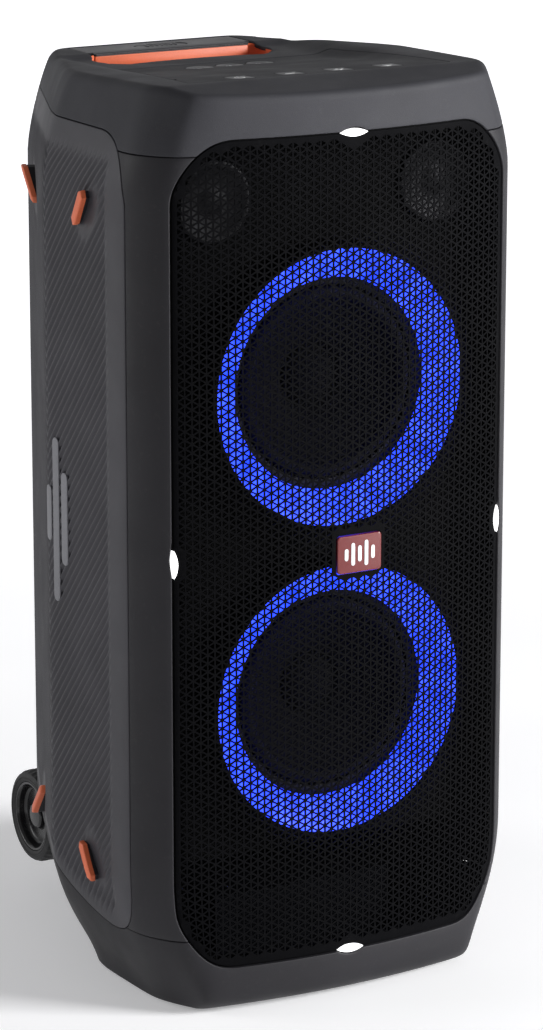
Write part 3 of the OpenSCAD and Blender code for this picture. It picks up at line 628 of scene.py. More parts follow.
def lamp_notch(x):
    """Half height of the strobe lens, grown a little, at x from its middle."""
    return np.sqrt(np.maximum(20.1 ** 2 - x * x, 0)) - 16


def hood_bottom(s):
    x, y = plan(s)
    ahead = y < 45
    front = np.maximum(HOOD_Z + SEAM, np.where(ahead, grille_edge(x, False), 0))
    front = np.where(ahead & (abs(x) < 12), np.maximum(front, GRILLE_Z1 - 1 + lamp_notch(x)), front)
    side = np.interp(y, PANEL_TOP[:, 0], PANEL_TOP[:, 1] + 0.5)
    return np.where(ahead | (y > REAR_Y0), front, np.maximum(front, side))


def base_top(s):
    x, y = plan(s)
    flat = np.full_like(x, BASE_Z - SEAM)
    front = np.minimum(flat, grille_edge(x, True))
    front = np.where(abs(x) < 12, np.minimum(front, GRILLE_Z0 + 1 - lamp_notch(x)), front)
    below = np.interp(y, PANEL_LOW[:, 0], PANEL_LOW[:, 1] - 0.5)
    side = np.where(y < 50.2, flat, np.where(y < 86, np.minimum(flat, below), below))
    out = np.where((y < 45) & (abs(x) < 145), front, side)
    return np.where(y > REAR_Y0, 112, out)


def round_columns(step):
    """Places round the whole cabinet, closer together where the joints bend."""
    half = np.concatenate([np.arange(0, 13, 1.0), spread(13, s_at_x(GRILLE_X - GRILLE_R), step),
                           spread(s_at_x(94), s_at_y(96), 1.6), spread(s_at_y(96), s_at_y(170), 3.5),
                           spread(s_at_y(170), HALF_S, step),
                           [s_at_y(REAR_Y0) - 0.15, s_at_y(REAR_Y0) + 0.15]])
    half = np.unique(np.round(half, 3))
    half = half[np.concatenate([[True], np.diff(half) > 0.25])]
    return np.concatenate([-half[:0:-1], half])[1:]


def hood_band():
    """Upright part of the hood with the rounded edge, as rows of points and depths."""
    s = round_columns(4.5)
    z0 = hood_bottom(s)
    crest = wall(s, top_height(plan(s)[1], 160))
    turn = wall(s, crest[:, 2] - 6)
    rim_r = 0.8
    rows = [wall(s, z0 + share * rim_r) for share in RIM]
    rows += [wall(s, z0 + rim_r + (turn[:, 2] - z0 - rim_r) * t) for t in np.linspace(0, 1, 11)[1:-1]]
    along = np.roll(crest, -1, 0) - np.roll(crest, 1, 0)
    inward = np.column_stack([-along[:, 1], along[:, 0]])
    inward /= np.linalg.norm(inward, axis=1)[:, None]
    reach = np.where(crest[:, 1] > 300, 2.6, 5.0)[:, None]
    land = top(crest[:, :2] + inward * reach)
    crest[:, 2] = top_height(crest[:, 1], crest[:, 0])
    for t in np.linspace(0, 1, 7):
        rows.append(turn * (1 - t) ** 2 + 2 * crest * t * (1 - t) + land * t * t)
    depth = np.zeros((len(rows), len(s)))
    depth[:len(RIM)] = rim_depth(rim_r)[:, None]
    return np.array(rows), depth


CONTROL = np.array([(-108.0, 46), (108, 46), (98, 206), (-98, 206)])


def control_loop(grow):
    """Outline of the control panel from above with small round corners."""
    loop = inset(CONTROL, -grow)
    out = []
    for i, b in enumerate(loop):
        a, c = loop[i - 1] - b, loop[(i + 1) % 4] - b
        out.append(bezier(b + a / np.linalg.norm(a) * 5, b, b + c / np.linalg.norm(c) * 5, 5))
    return fine(np.vstack(out), 4)


def well_loop(grow):
    """Opening for the handle well and the grip behind it, as one outline."""
    r = WELL_R + grow
    right = np.vstack([arc(WELL_X, WELL_Y0, r, -90, 0, 8), arc(WELL_X, WELL_Y1 - 3, r, 0, 45, 4),
                       [(70.5 + grow, 276)], arc(68.5 + grow, 309.4 + grow, 2, 0, 90, 4)])
    loop = np.vstack([right, right[::-1] * [-1, 1]])
    return fine(loop, 4)


def hood():
    rows, depth = hood_band()
    count, cols = rows.shape[:2]
    points = rows.reshape(-1, 3)
    tris = strip(count, cols, closed=True)
    loop = rows[-1][:, :2]
    grid = lattice(spread(-150, 150, 5.5), np.concatenate([spread(8, 36, 5), [38.5, 41.5],
                                                           spread(46, 318, 5)]))
    x = spread(-70, 70, 2)
    edge = np.vstack([np.column_stack([x, scoop_edge(x) + d]) for d in (-0.4, 0.2, 0.8, 1.6)])
    grid = np.vstack([grid[distance(grid, edge[:len(x)], False) > 3], edge])
    flat, inner, rim = region(loop, [control_loop(0.25), well_loop(0)], grid, 0, hole_r=0.9)
    offset = (count - 1) * cols
    inner = inner + offset
    points = np.vstack([points[:offset], top(flat)])
    depth = np.concatenate([depth.ravel()[:offset], rim])
    solid = thicken(points, np.vstack([tris, inner]), depth, SKIN_T)
    return piece("hood_moulding", *solid, "cabinet", "cabinet_dark", M["hood"], "hood")


ARCH_X, ARCH_R, WHEEL_Y, AXLE_Z = 66, 45, 330, 62


def arch_hole(side):
    """Outline of a wheel arch on the unrolled wall."""
    s = np.concatenate([spread(s_at_y(WHEEL_Y - ARCH_R + 0.02), s_at_y(300), 1.5),
                        spread(s_at_y(300.5), HALF_S - ARCH_X, 2.5)])
    y = plan(s)[1]
    half = np.sqrt(np.maximum(ARCH_R ** 2 - (y - WHEEL_Y) ** 2, 0.8))
    upper = np.column_stack([s, AXLE_Z + half])[::-1]
    lower = np.column_stack([s, AXLE_Z - half])
    loop = np.vstack([lower, upper])
    return loop if side > 0 else (loop * [-1, 1])[::-1]


def base():
    s = round_columns(5)
    s = np.concatenate([[-HALF_S], s[:-1], [HALF_S]])
    z1 = base_top(s)
    ladder = np.array([FOOT_Z, 3, 3.8, 5, 7, 10, 14, 19, 25, 32, 40, 50, 60, 70, 80, 90, 100])
    side = ladder[1:]
    outer = np.vstack([np.column_stack([s, 0 * s + FOOT_Z]), [(HALF_S, z) for z in side],
                       np.column_stack([s, z1])[::-1], [(-HALF_S, z) for z in side[::-1]]])
    grid = lattice(spread(-HALF_S + 5, HALF_S - 5, 6), ladder[1:])
    rim_line = np.column_stack([s, z1])[1:-1]
    flat, tris, depth = region(outer, [arch_hole(-1), arch_hole(1)], grid, 0.8, hole_r=1.2, open_rim=rim_line)
    depth[len(s) + len(side):2 * len(s) + len(side)] = rim_depth(0.8)[0]
    walls = wall(flat[:, 0], flat[:, 1])
    foot = walls[:len(s) - 1]
    flat2, sole, _ = region(foot[:, :2], [], lattice(spread(-130, 130, 12), spread(40, 290, 12)), 0)
    ground = np.column_stack([flat2, np.full(len(flat2), FOOT_Z)])
    points = np.vstack([walls, ground])
    tris = np.vstack([tris, sole[:, ::-1] + len(walls)])
    points, tris, depth = merge(points, tris, np.concatenate([depth, np.zeros(len(ground))]))
    solid = thicken(points, tris, depth, SKIN_T)
    piece("base_moulding", *solid, "cabinet", "cabinet_dark", M["shell_shade_darkened"], "base")
    for side_sign in (-1, 1):
        arch_liner(side_sign)


def merge(points, tris, depth):
    """Welds points that coincide and drops the triangles this closes."""
    _, first, back = np.unique(np.round(points, 3), axis=0, return_index=True, return_inverse=True)
    tris = back.ravel()[tris]
    ok = (tris[:, 0] != tris[:, 1]) & (tris[:, 1] != tris[:, 2]) & (tris[:, 0] != tris[:, 2])
    return points[first], tris[ok], depth[first]


def arch_liner(side):
    """Curved wall of a wheel arch, from the skin in to the flat wall beside the axle housing."""
    loop = arch_hole(1)
    loop = np.roll(loop, len(loop) // 2, 0)
    rim = wall(loop[:, 0], loop[:, 1])
    keep = rim[:, 0] > ARCH_X + 0.5
    rim = rim[keep]
    out = []
    for x_share, grow in ((0, 0.2), (1, 0.2), (1, 2.2), (0, 2.2)):
        p = rim.copy()
        away = p[:, 1:] - [WHEEL_Y, AXLE_Z]
        p[:, 1:] += away / np.linalg.norm(away, axis=1)[:, None] * grow
        p[:, 0] = (p[:, 0] - 1.6) * (1 - x_share) + ARCH_X * x_share
        out.append(p)
    n = len(rim)
    faces = []
    for k in range(4):
        a, b = k * n, (k + 1) % 4 * n
        faces += [(a + i, a + i + 1, b + i + 1, b + i) for i in range(n - 1)]
    faces += [(0, n, 2 * n, 3 * n), (n - 1, 4 * n - 1, 3 * n - 1, 2 * n - 1)]
    points = np.vstack(out) * [side, 1, 1]
    piece(f"arch_liner_{name_of(side)}", points, faces, "cabinet", "inner_black", M["inner"], "base")
    arch_wall(side)


def arch_wall(side):
    """Flat inner wall of a wheel arch with the round boss of the axle housing."""
    low, high = AXLE_Z - ARCH_R - 1, AXLE_Z + ARCH_R + 1
    a = np.degrees(np.arctan2(math.sqrt(ARCH_R ** 2 - (BODY_D - 1 - WHEEL_Y) ** 2), BODY_D - 1 - WHEEL_Y))
    disc = arc(WHEEL_Y, AXLE_Z, ARCH_R + 1, a, 360 - a, 40)
    disc = np.clip(disc, [0, low], [BODY_D - 1, high])
    disc[:, 0] = np.minimum(disc[:, 0], rear_y(disc[:, 1]) - 1.5)
    rows = [(0, 0), (0, -0.4), (2.4, -0.4), (2.4, 0)]
    loops = [np.column_stack([np.full(len(disc), ARCH_X - d) * side, inset(disc, i)]) for d, i in rows]
    piece(f"arch_wall_{name_of(side)}", *loft(loops), "cabinet", "inner_black", M["inner"], "base")
    boss = round_corners([(6.3, -5), (16, -5), (16, 2.4), (13, 3), (6.3, 3)], 0.8)
    centre = (side * ARCH_X, WHEEL_Y, AXLE_Z)
    points, faces = turned(boss, centre, "x" if side > 0 else "-x", 48)
    piece(f"axle_boss_{name_of(side)}", points, faces, "cabinet", "inner_black", M["inner"], "base")


def name_of(side):
    return "left" if side < 0 else "right"


def post_outline():
    """Outline of the right front post on the unrolled wall, anticlockwise."""
    edge = panel_outline(0.5)
    z_first, z_last = BASE_Z + SEAM, HOOD_Z - SEAM
    low, high = edge[:15][::-1], edge[32:][::-1]
    y_first = np.interp(z_first, low[:, 1], low[:, 0])
    low = low[low[:, 1] > z_first + 1]
    y_last = np.interp(z_last, high[:, 1], high[:, 0])
    high = high[high[:, 1] < z_last - 1]
    outer = np.vstack([[(y_first, z_first)], low, high, [(y_last, z_last)]])
    right = np.column_stack([s_at_y(outer[:, 0]), outer[:, 1]])
    r, x1 = GRILLE_R, GRILLE_X - GRILLE_R
    zs = np.concatenate([np.linspace(z_last, GRILLE_Z1 - r, 16), np.linspace(600, 88, 40),
                         np.linspace(GRILLE_Z0 + r, z_first, 8)])
    over = np.maximum(np.maximum(zs - (GRILLE_Z1 - r), (GRILLE_Z0 + r) - zs), 0)
    x = x1 + np.sqrt(r * r - over * over)
    notch = np.sqrt(np.maximum(21.5 ** 2 - (zs - LENS_Z) ** 2, 0)) - 17.9 + LENS_X
    x = np.where(abs(zs - LENS_Z) < 12, np.maximum(x, notch), x)
    left = np.column_stack([s_at_x(x), zs])
    return fine(np.vstack([right, left]), 5)


def post(side):
    outer = post_outline()
    grid = lattice(spread(s_at_x(124), s_at_y(76), 4), spread(66, 636, 7))
    flat, tris, depth = region(outer, [], grid, 0.8)
    points = wall(flat[:, 0], flat[:, 1]) * [side, 1, 1]
    if side < 0:
        tris = tris[:, ::-1]
    solid = thicken(points, tris, depth, SKIN_T)
    piece(f"front_post_{name_of(side)}", *solid, "cabinet", "cabinet_dark", M["shell_shade_darkened"], "front_posts")


def grille_loop(grow, step=6):
    x, r = GRILLE_X + grow, GRILLE_R + grow
    loop = rounded(-x, GRILLE_Z0 - grow, x, GRILLE_Z1 + grow, r, 14)
    return fine(np.column_stack([s_at_x(loop[:, 0]), loop[:, 1]]), step)


def grille_seat():
    """Hidden frame behind the edge of the grille."""
    flat, tris, depth = region(grille_loop(7), [grille_loop(-8)], np.zeros((0, 2)), 0.3)
    s, z = flat.T
    solid = thicken(wall(s, z), tris, depth + 3.2, 5.5, wall_normals(s, z))
    piece("grille_seat", *solid, "cabinet", "inner_black", M["inner"], "front_posts")


SCREWS = [(x, z) for x in (-82, 82) for z in (128, 250, 400, 500, 622)]   # in the rear cover


def rear_cover():
    first = s_at_y(REAR_Y0)
    outer = fine([(first, 112.5), (2 * HALF_S - first, 112.5), (2 * HALF_S - first, HOOD_Z - SEAM),
                  (first, HOOD_Z - SEAM)], 5)
    rear = 2 * HALF_S                      # the rear centre lies at s = HALF_S, x runs the other way
    def at(loop):
        return (np.column_stack([HALF_S - loop[:, 0], loop[:, 1]]))[::-1]
    holes = [at(rounded(-52.2, 519.6, 52.2, 605.2, 0.9)), at(circle(0, 350, 35.2, 64)),
             at(rounded(-17.2, 163.8, 17.2, 188.2, 5))]
    holes += [at(circle(x, z, 3.6, 20)) for x, z in SCREWS]
    grid = lattice(spread(first + 2, rear - first - 2, 4.5), spread(116, 636, 8))
    flat, tris, depth = region(outer, holes, grid, 0.8, hole_r=0.6)
    height = flat[:, 1]
    lane = smooth(0, 4, np.minimum(abs(flat[:, 0] - HALF_S) - 60, 74 - abs(flat[:, 0] - HALF_S)))
    groove = np.clip(np.cos(height * TAU / 14) * 2 + 0.4, 0, 1) * lane * smooth(150, 158, height)
    groove *= 1 - smooth(612, 620, height)
    solid = thicken(wall(flat[:, 0], height), tris, depth + 1.0 * groove, SKIN_T)
    piece("rear_cover_moulding", *solid, "cabinet", "cabinet_dark", M["shell_shade_darkened"], "rear_cover")


# ---------------------------------------------------------------- side panels

RIB_PITCH, RIB_RISE = 8.46, 1.19
# Each bumper's depth, height and lean in degrees; how far its middle stands out and how much it tips
BUMPERS = ((108, 594, 33, 5.5, 1), (108, 103, -33, 5.5, -1),
           (235, 590, -33, 6.4, 3.5), (235, 110, 33, 6.4, -3.5))


def sheared(p):
    """The panel's plane with the chevron ribs laid level, and stretched across them."""
    return np.column_stack([p[:, 0], 3.4 * (p[:, 1] - RIB_RISE * abs(p[:, 0] - RIDGE_Y))])


def bumper_frame(p, place):
    """Position of panel points along and across one bumper; across grows towards the near edge."""
    y, z, lean = place[:3]
    a = math.radians(lean)
    d = p - [y, z]
    along = d[:, 0] * math.sin(-a) + d[:, 1] * math.cos(a)
    across = d[:, 0] * math.cos(a) + d[:, 1] * math.sin(a)
    return along, across * (-1 if y < RIDGE_Y else 1)


def rib_area(p):
    """1 where the ribs have their full height, falling to 0 at the smooth border."""
    bottom = np.interp(p[:, 0], PANEL_LOW[:, 0], PANEL_LOW[:, 1])
    room = np.min([p[:, 0] - 75, 298 - p[:, 0], 633 - p[:, 1], p[:, 1] - bottom - 13], axis=0)
    share = smooth(0, 4, room)
    for place in BUMPERS:
        along, across = bumper_frame(p, place)
        near = ((across - 8) / 13) ** 2 + (along / 25) ** 2
        share = share * smooth(0.55, 1.25, near)
    return share


def side_relief(p):
    phase = (p[:, 1] - RIB_RISE * abs(p[:, 0] - RIDGE_Y)) / RIB_PITCH * TAU
    ribs = 1.9 * (0.5 - 0.5 * np.cos(phase)) ** 1.1 * rib_area(p)
    dish = np.zeros(len(p))
    for place in BUMPERS:
        along, across = bumper_frame(p, place)
        dish = np.maximum(dish, 2.1 * np.exp(-((across - 7) / 8) ** 2 - (along / 19) ** 2))
    return np.minimum(ribs + dish, 2.4)


def side_grid():
    """Points in columns that follow the ribs, eight to each rib."""
    step = RIB_PITCH / 8
    out = []
    for y in np.unique(np.concatenate([spread(54, RIDGE_Y, 3.6), spread(RIDGE_Y, 298, 3.8)])):
        shift = RIB_RISE * abs(y - RIDGE_Y)
        z = np.arange(math.ceil((54 - shift) / step), (652 - shift) / step) * step + shift
        out.append(np.column_stack([np.full(len(z), y), z]))
    return np.vstack(out)


def side_panels():
    flat, tris, depth = region(fine(PANEL, 3.0), [], side_grid(), 0.9, warp=sheared)
    s = s_at_y(flat[:, 0])
    points, out = wall(s, flat[:, 1]), wall_normals(s, flat[:, 1])
    depth = depth + side_relief(flat)
    for side in (-1, 1):
        solid = thicken(points * [side, 1, 1], tris[:, ::side], depth, SKIN_T, out * [side, 1, 1])
        piece(f"ribbed_panel_{name_of(side)}", *solid, "cabinet", "side_grey", M["side"],
              f"side_panel_{name_of(side)}", weld=False, angle=60)


def on_side(side, y, z, local):
    """Local points (outwards, depth, height) laid on a side panel round the place y, z."""
    points = wall(s_at_y(local[:, 1] + y), local[:, 2] + z)
    out = np.where(local[:, 1] + y < RIDGE_Y, math.atan(AHEAD_LEAN), -math.atan(BEHIND_LEAN))
    normal = np.column_stack([np.cos(out), -np.sin(out), 0 * out])
    return (points + normal * local[:, :1]) * [side, 1, 1]


def bumper(side, place):
    """Slim pointed bumper that stands higher at one end, on a mount in the shell plastic, darkened with
    painted shade.
    """
    y, z, lean, stand, tip = place
    a = math.radians(lean)
    shape = fine([(-0.8, -16), (3.6, -12), (3.6, 12.5), (0.8, 16), (-3.6, 12), (-3.6, -12.5)], 2)
    where = name_of(side) + ("_upper" if z > 300 else "_lower") + ("_front" if y < RIDGE_Y else "_rear")
    rows = {"bumper": ((-4.2, 0), (-1.6, 0), (-0.6, 0.3), (-0.2, 0.9), (0, 1.7)),
            "mount": ((-20, 0.5), (-4.2, 0.5), (-3.9, 1.2))}
    for name, steps in rows.items():
        loops = []
        for under, shrink in steps:
            across, along = inset(shape, shrink).T
            out = np.maximum(stand + tip * along / 16 + under, -1.5)
            dy = across * math.cos(a) - along * math.sin(a)
            dz = across * math.sin(a) + along * math.cos(a)
            loops.append(on_side(side, y, z, np.column_stack([out, dy, dz])))
        orange = name == "bumper"
        nodes = [f"bumpers_{name_of(side)}"] if orange else []
        piece(f"{name}_{where}", *loft(loops), "cabinet", "accent_orange" if orange else "cabinet_dark",
              M["orange" if orange else "shell_shade_darkened"], *nodes)


def side_mark(side):
    """Generic mark on the side: three upright capsules of unequal height."""
    for k, (y, low, high) in enumerate(((141, 322, 392), (154, 292, 416), (166, 336, 378))):
        loops = []
        for out, shrink in ((-0.9, 0), (0.15, 0), (0.35, 0.25), (0.4, 0.8)):
            r = 4.6 - shrink
            loop = np.vstack([arc(0, high - low - 9, r, 0, 180, 12), arc(0, 0, r, 180, 360, 12)])
            local = np.column_stack([np.full(len(loop), out), loop[:, 0], loop[:, 1]])
            loops.append(on_side(side, y, low + 4.5, local))
        piece(f"side_mark_{name_of(side)}_{k}", *loft(loops), "cabinet", "side_grey", M["mark"])


# ---------------------------------------------------------------- grille

LATTICE = 6.25
BAR = 0.62                                 # inset of each hole from the lattice lines
GRILLE_T = 0.9
GRILLE_DROP = 1.2                          # how far the sheet lies below the frame round it


def perforated_field(outline, cutouts):
    """Lattice triangles that lie clear of the outline and the cutouts, as points and triples."""
    pitch = LATTICE * math.sqrt(3) / 2
    half_n, rows = int(s_at_x(GRILLE_X) / pitch) + 1, int(620 / LATTICE) + 2
    triples = []
    for i in range(-half_n, half_n):
        shift = LATTICE / 2 if i % 2 else 0
        for j in range(-1, rows):
            u, z = i * pitch, GRILLE_Z0 + j * LATTICE + shift
            low, high = (u + pitch, z - LATTICE / 2), (u + pitch, z + LATTICE / 2)
            triples += [((u, z), high, (u, z + LATTICE)), ((u, z), low, high)]
    triples = np.round(np.array(triples), 3)
    corners = triples.reshape(-1, 2)
    good = inside(corners, outline)
    good[good] = distance(corners[good], outline) > 2.0
    for cut in cutouts:
        good &= ~inside(corners, cut)
        good[good] = distance(corners[good], cut) > 1.6
    triples = triples[good.reshape(-1, 3).all(1)]
    points, ids = np.unique(triples.reshape(-1, 2), axis=0, return_inverse=True)
    return points, ids.reshape(-1, 3)


def grille():
    """Curved sheet with three-cornered holes between the bars of a triangular lattice."""
    outline = grille_loop(-1.2, 4)
    side_lens = lens(11.2, 3.8)[:, ::-1][::-1]
    badge = rounded(BADGE_X - 19.1, 327.4, BADGE_X + 19.1, 356.6, 3)
    cutouts = [lens(11.8, 3.8) + [0, GRILLE_Z1 - 1], lens(11.8, 3.8) + [0, GRILLE_Z0 + 1], badge,
               side_lens + [-s_at_x(LENS_X), LENS_Z], side_lens + [s_at_x(LENS_X), LENS_Z]]
    outline = notched(outline, cutouts)
    nodes, ids = perforated_field(outline, [badge])
    tri = nodes[ids]
    centre = tri.mean(1, keepdims=True)
    holes = centre + (tri - centre) * (1 - 2 * BAR * math.sqrt(3) / LATTICE)
    inner = len(nodes) + np.arange(3 * len(ids)).reshape(-1, 3)
    flat = [nodes, holes.reshape(-1, 2)]
    tris = []
    for k in range(3):
        m = (k + 1) % 3
        tris += [np.stack([ids[:, k], ids[:, m], inner[:, m]], -1),
                 np.stack([ids[:, k], inner[:, m], inner[:, k]], -1)]
    depth = [np.zeros(len(nodes) + 3 * len(ids))]
    loops = sorted(chain(border(ids)), key=lambda l: -np.ptp(nodes[l], axis=0).prod())
    field = nodes[loops[0]]
    margins = [region(outline, [field], np.zeros((0, 2)), 0.4, hole_r=0)]
    margins.append(region(nodes[loops[1]][::-1], [badge], np.zeros((0, 2)), 0, hole_r=0.3))
    for part in margins:
        start = sum(len(f) for f in flat)
        flat.append(part[0])
        tris.append(part[1] + start)
        depth.append(part[2])
    flat, tris, depth = merge(np.vstack(flat), np.vstack(tris), np.concatenate(depth))
    solid = thicken(wall(flat[:, 0], flat[:, 1]), tris, depth + GRILLE_DROP, GRILLE_DROP + GRILLE_T)
    piece("grille_sheet", *solid, "cabinet", "grille_paint", M["grille"], "grille", weld=False, angle=30)


def notched(outline, cutouts):
    """The outline with the parts inside the cutouts pushed back to their edges."""
    out = fine(outline, 1.0)
    for cut in cutouts:
        hit = inside(out, cut)
        if not hit.any():
            continue
        start = int(np.argmax(hit & ~np.roll(hit, 1)))
        out, hit = np.roll(out, -start, 0), np.roll(hit, -start)
        count = int(hit.sum())
        a, b = out[-1], out[count]
        rim = cut[inside(cut, out)]
        order = np.argsort(((rim - a) @ (b - a)))
        out = np.vstack([rim[order], out[count:]])
    return out


def chain(edges):
    """Closed loops of point numbers from directed edges."""
    after = {}
    for a, b in edges.tolist():
        after.setdefault(a, []).append(b)
    loops = []
    while after:
        a = next(iter(after))
        loop = []
        while a in after:
            loop.append(a)
            following = after[a].pop()
            if not after[a]:
                del after[a]
            a = following
        loops.append(loop)
    return loops


# ---------------------------------------------------------------- lamps, badge, drivers

def strobe(name, x, z, upright):
    loops = []
    shape = lens(10.3, 2.7, 16)[:, ::-1][::-1] if upright else lens(11.0, 2.8, 16)
    for y, k in ((9.0, 1), (0.6, 1), (0.1, 0.94), (-0.15, 0.8), (-0.2, 0.5)):
        flat = shape * k + [s_at_x(x), z]
        p = wall(flat[:, 0], flat[:, 1])
        p[:, 1] = np.maximum(p[:, 1] + y, 0.0)
        loops.append(p)
    piece(name + "_lens", *loft(loops), "cabinet", "lens_white", M["lamp"], name)


def badge():
    """Plate between the light rings with a generic mark of five equaliser bars."""
    loops = []
    for y, grow in ((4.0, 0), (0.5, 0), (0.15, -0.3), (0.05, -0.9)):
        loop = rounded(BADGE_X - 18.5 - grow, 328 - grow, BADGE_X + 18.5 + grow, 356 + grow,
                       2.5 + grow * 0.5)
        p = wall(s_at_x(loop[:, 0]), loop[:, 1])
        p[:, 1] += y
        loops.append(p)
    piece("badge_plate", *loft(loops), "cabinet", "badge_red", M["badge"], "badge")
    for k, h in enumerate((4.5, 8.5, 6.0, 9.5, 5.0)):
        x = BADGE_X + (k - 2) * 5.6
        loops = []
        for y, r in ((0.8, 1.5), (0.05, 1.5), (-0.0, 1.2)):
            loop = np.vstack([arc(x, 342 + h - 1.5, r, 0, 180, 8), arc(x, 342 - h + 1.5, r, 180, 360, 8)])
            p = wall(s_at_x(loop[:, 0]), loop[:, 1])
            p[:, 1] = np.maximum(p[:, 1] + y - 0.05, 0)
            loops.append(p)
        piece(f"badge_bar_{k}", *loft(loops), "cabinet", "lens_white", M["white"])


def light_ring(name, z, material):
    """Glowing cone, and the dark skirt that carries it."""
    cone = round_corners([(78.5, 34), (101.6, 18.4), (102.4, 19.6), (78.5, 37)], 0.4)
    piece(name + "_diffuser", *turned(cone, (0, 0, z), "y", 128), "cabinet", "ring_blue", material, name)
    skirt = round_corners([(102.6, 19.8), (101.9, 17.9), (102.6, 17), (105.1, 17), (105.1, 43.9),
                           (103.5, 43.9)], 0.3)
    piece(name + "_skirt", *turned(skirt, (0, 0, z), "y", 128), "cabinet", "inner_black", M["inner"], name)


def woofer(where, z):
    centre = (0, 0, z)
    body = f"{where}_cone"
    ribs = [(r, 70.2 - (r - 19) * 0.62 - 0.45 * math.cos((r - 19) * TAU / 8))
            for r in np.arange(60, 19, -1.0)]
    cone = [(61.5, 44.5), (61, 43), (60, 43.8)] + [(r, y - 1.2) for r, y in ribs]
    cone += [(12.5, 72), (12.5, 104), (11.5, 104), (11.5, 73.4)] + [(r, y + 0.4) for r, y in ribs[::-1]]
    piece(f"cone_{where}", *turned(cone, centre, "y", 96), body, "cone_grey", M["cone"],
          f"woofer_cone_{where}")
    roll = [(65.5 - r * math.cos(math.radians(a)), 42.8 - r * math.sin(math.radians(a)))
            for r, turn in ((5, range(0, 181, 12)), (3.9, range(180, -1, -12))) for a in turn]
    piece(f"surround_{where}", *turned(roll, centre, "y", 96), body, "soft_rubber", M["rubber"],
          f"woofer_surround_{where}")
    height = 30 - math.sqrt(30 ** 2 - 22 ** 2)
    cap = [(30 * math.sin(a), 66 - height + 30 - 30 * math.cos(a))
           for a in np.linspace(0, math.asin(22 / 30), 14)]
    cap += [(r * 0.965, y + 1) for r, y in cap[::-1]]
    cap[-1] = (0, cap[-1][1])
    piece(f"cap_{where}", *turned(cap, centre, "y", 64), body, "cone_grey", M["cone"], f"dust_cap_{where}")
    magnet = round_corners([(0, 93), (11, 93), (11, 112), (14, 112), (14, 92.1), (46, 92.1), (46, 97),
                            (50, 99), (50, 116), (45, 118), (0, 118)], 1.2)
    piece(f"magnet_{where}", *turned(magnet, centre, "y", 72), "cabinet", "magnet_grey", M["magnet"],
          f"woofer_magnet_{where}")
    basket(where, z)


def basket(where, z):
    """Basket with a flange, a back ring and six tapered legs."""
    centre = (0, 0, z)
    flange = round_corners([(72.5, 41), (82, 41), (82, 43.9), (73.5, 43.9), (73.5, 50), (71, 50), (71, 46),
                            (72.5, 46)], 0.5)
    points, faces = turned(flange, centre, "y", 72)
    back = round_corners([(27, 88), (44, 86), (46, 88), (46, 92), (27, 92)], 0.5)
    for more in [turned(back, centre, "y", 72)] + [basket_leg(k, z) for k in range(6)]:
        faces += [tuple(i + len(points) for i in f) for f in more[1]]
        points = np.vstack([points, more[0]])
    piece(f"basket_{where}", points, faces, "cabinet", "driver_black", M["basket"], f"woofer_basket_{where}")


def basket_leg(k, z):
    loops = []
    for t in np.linspace(0, 1, 6):
        r, y, half = 71.8 - 27 * t ** 1.3, 49 + 39 * t, 7 - 2.5 * t
        loop = rounded(-half, -1.4, half, 1.4, 0.8, 3)
        a = TAU * k / 6 + 0.3
        radial, across = np.array([math.cos(a), math.sin(a)]), np.array([-math.sin(a), math.cos(a)])
        xz = radial * r + loop[:, :1] * across + loop[:, 1:] * radial
        loops.append(np.column_stack([xz[:, 0], np.full(len(loop), y), xz[:, 1] + z]))
    return loft(loops)


def tweeter(side):
    profile = [(0, 41), (4, 41.4), (8, 42.8), (10, 43.8), (12, 44)]
    profile += bezier((12, 44), (20, 43.4), (27, 40), 6).tolist() + [(29.4, 40.1), (30, 40.6)]
    profile += [(30, 43.9), (24, 43.9), (24, 60), (20, 60), (20, 78), (0, 78)]
    piece(f"tweeter_{name_of(side)}_unit", *turned(profile, (side * 92, 0, 602), "y", 64), "cabinet",
          "driver_black", M["basket"], f"tweeter_{name_of(side)}")


# ---------------------------------------------------------------- controls

ROUND_BUTTONS = (("light_button", -25.5), ("bass_button", 0), ("pairing_button", 25.5))
KEYS = (("power_key", -61), ("volume_down_key", -20), ("volume_up_key", 20), ("play_key", 61))
ROUND_Y, ROUND_R = 183, 10.5
KEY_Y, KEY_HALF = 58, 8.5


def control_panel():
    holes = [circle(x, ROUND_Y, ROUND_R + 0.4, 48) for _, x in ROUND_BUTTONS]
    half = KEY_HALF + 0.4
    holes += [rounded(x - half, KEY_Y - half, x + half, KEY_Y + half, 1.9, 5) for _, x in KEYS]
    grid = lattice(spread(-105, 105, 5), spread(48, 204, 5))
    flat, tris, depth = region(control_loop(0), holes, grid, 0.6, hole_r=0.5)
    solid = thicken(top(flat), tris, depth + 0.15, 2.7)
    piece("control_panel_plate", *solid, "cabinet", "button_dark", M["panel"], "control_panel")


def cap(loop, grid_step, r, dish, bottom, proud=0.0):
    """Button that follows the cabinet's top, dished by dish in its middle."""
    middle = loop.mean(0)
    size = np.linalg.norm(loop - middle, axis=1).max()
    lo, hi = loop.min(0), loop.max(0)
    grid = lattice(spread(lo[0], hi[0], grid_step), spread(lo[1], hi[1], grid_step))
    flat, tris, depth = region(loop, [], grid, r)
    points = top(flat)
    away = np.linalg.norm(flat - middle, axis=1) / size
    depth = depth + dish * (1 - smooth(0, 0.86, away)) - proud
    solid, faces = thicken(points, tris, depth, bottom)
    return solid, faces


def button_mark(name, body, shapes):
    """White mark on a button. shapes are (x, y) outlines a little above its surface."""
    points, faces, count = [], [], 0
    for outline, dish_depth in shapes:
        low = np.column_stack([outline, top_height(outline[:, 1]) - dish_depth - 0.3])
        high = low + [0, 0, 0.38]
        p, f = loft([low, high])
        points.append(p)
        faces += [tuple(i + count for i in q) for q in f]
        count += len(p)
    piece(name, np.vstack(points), faces, body, "lens_white", M["white"])


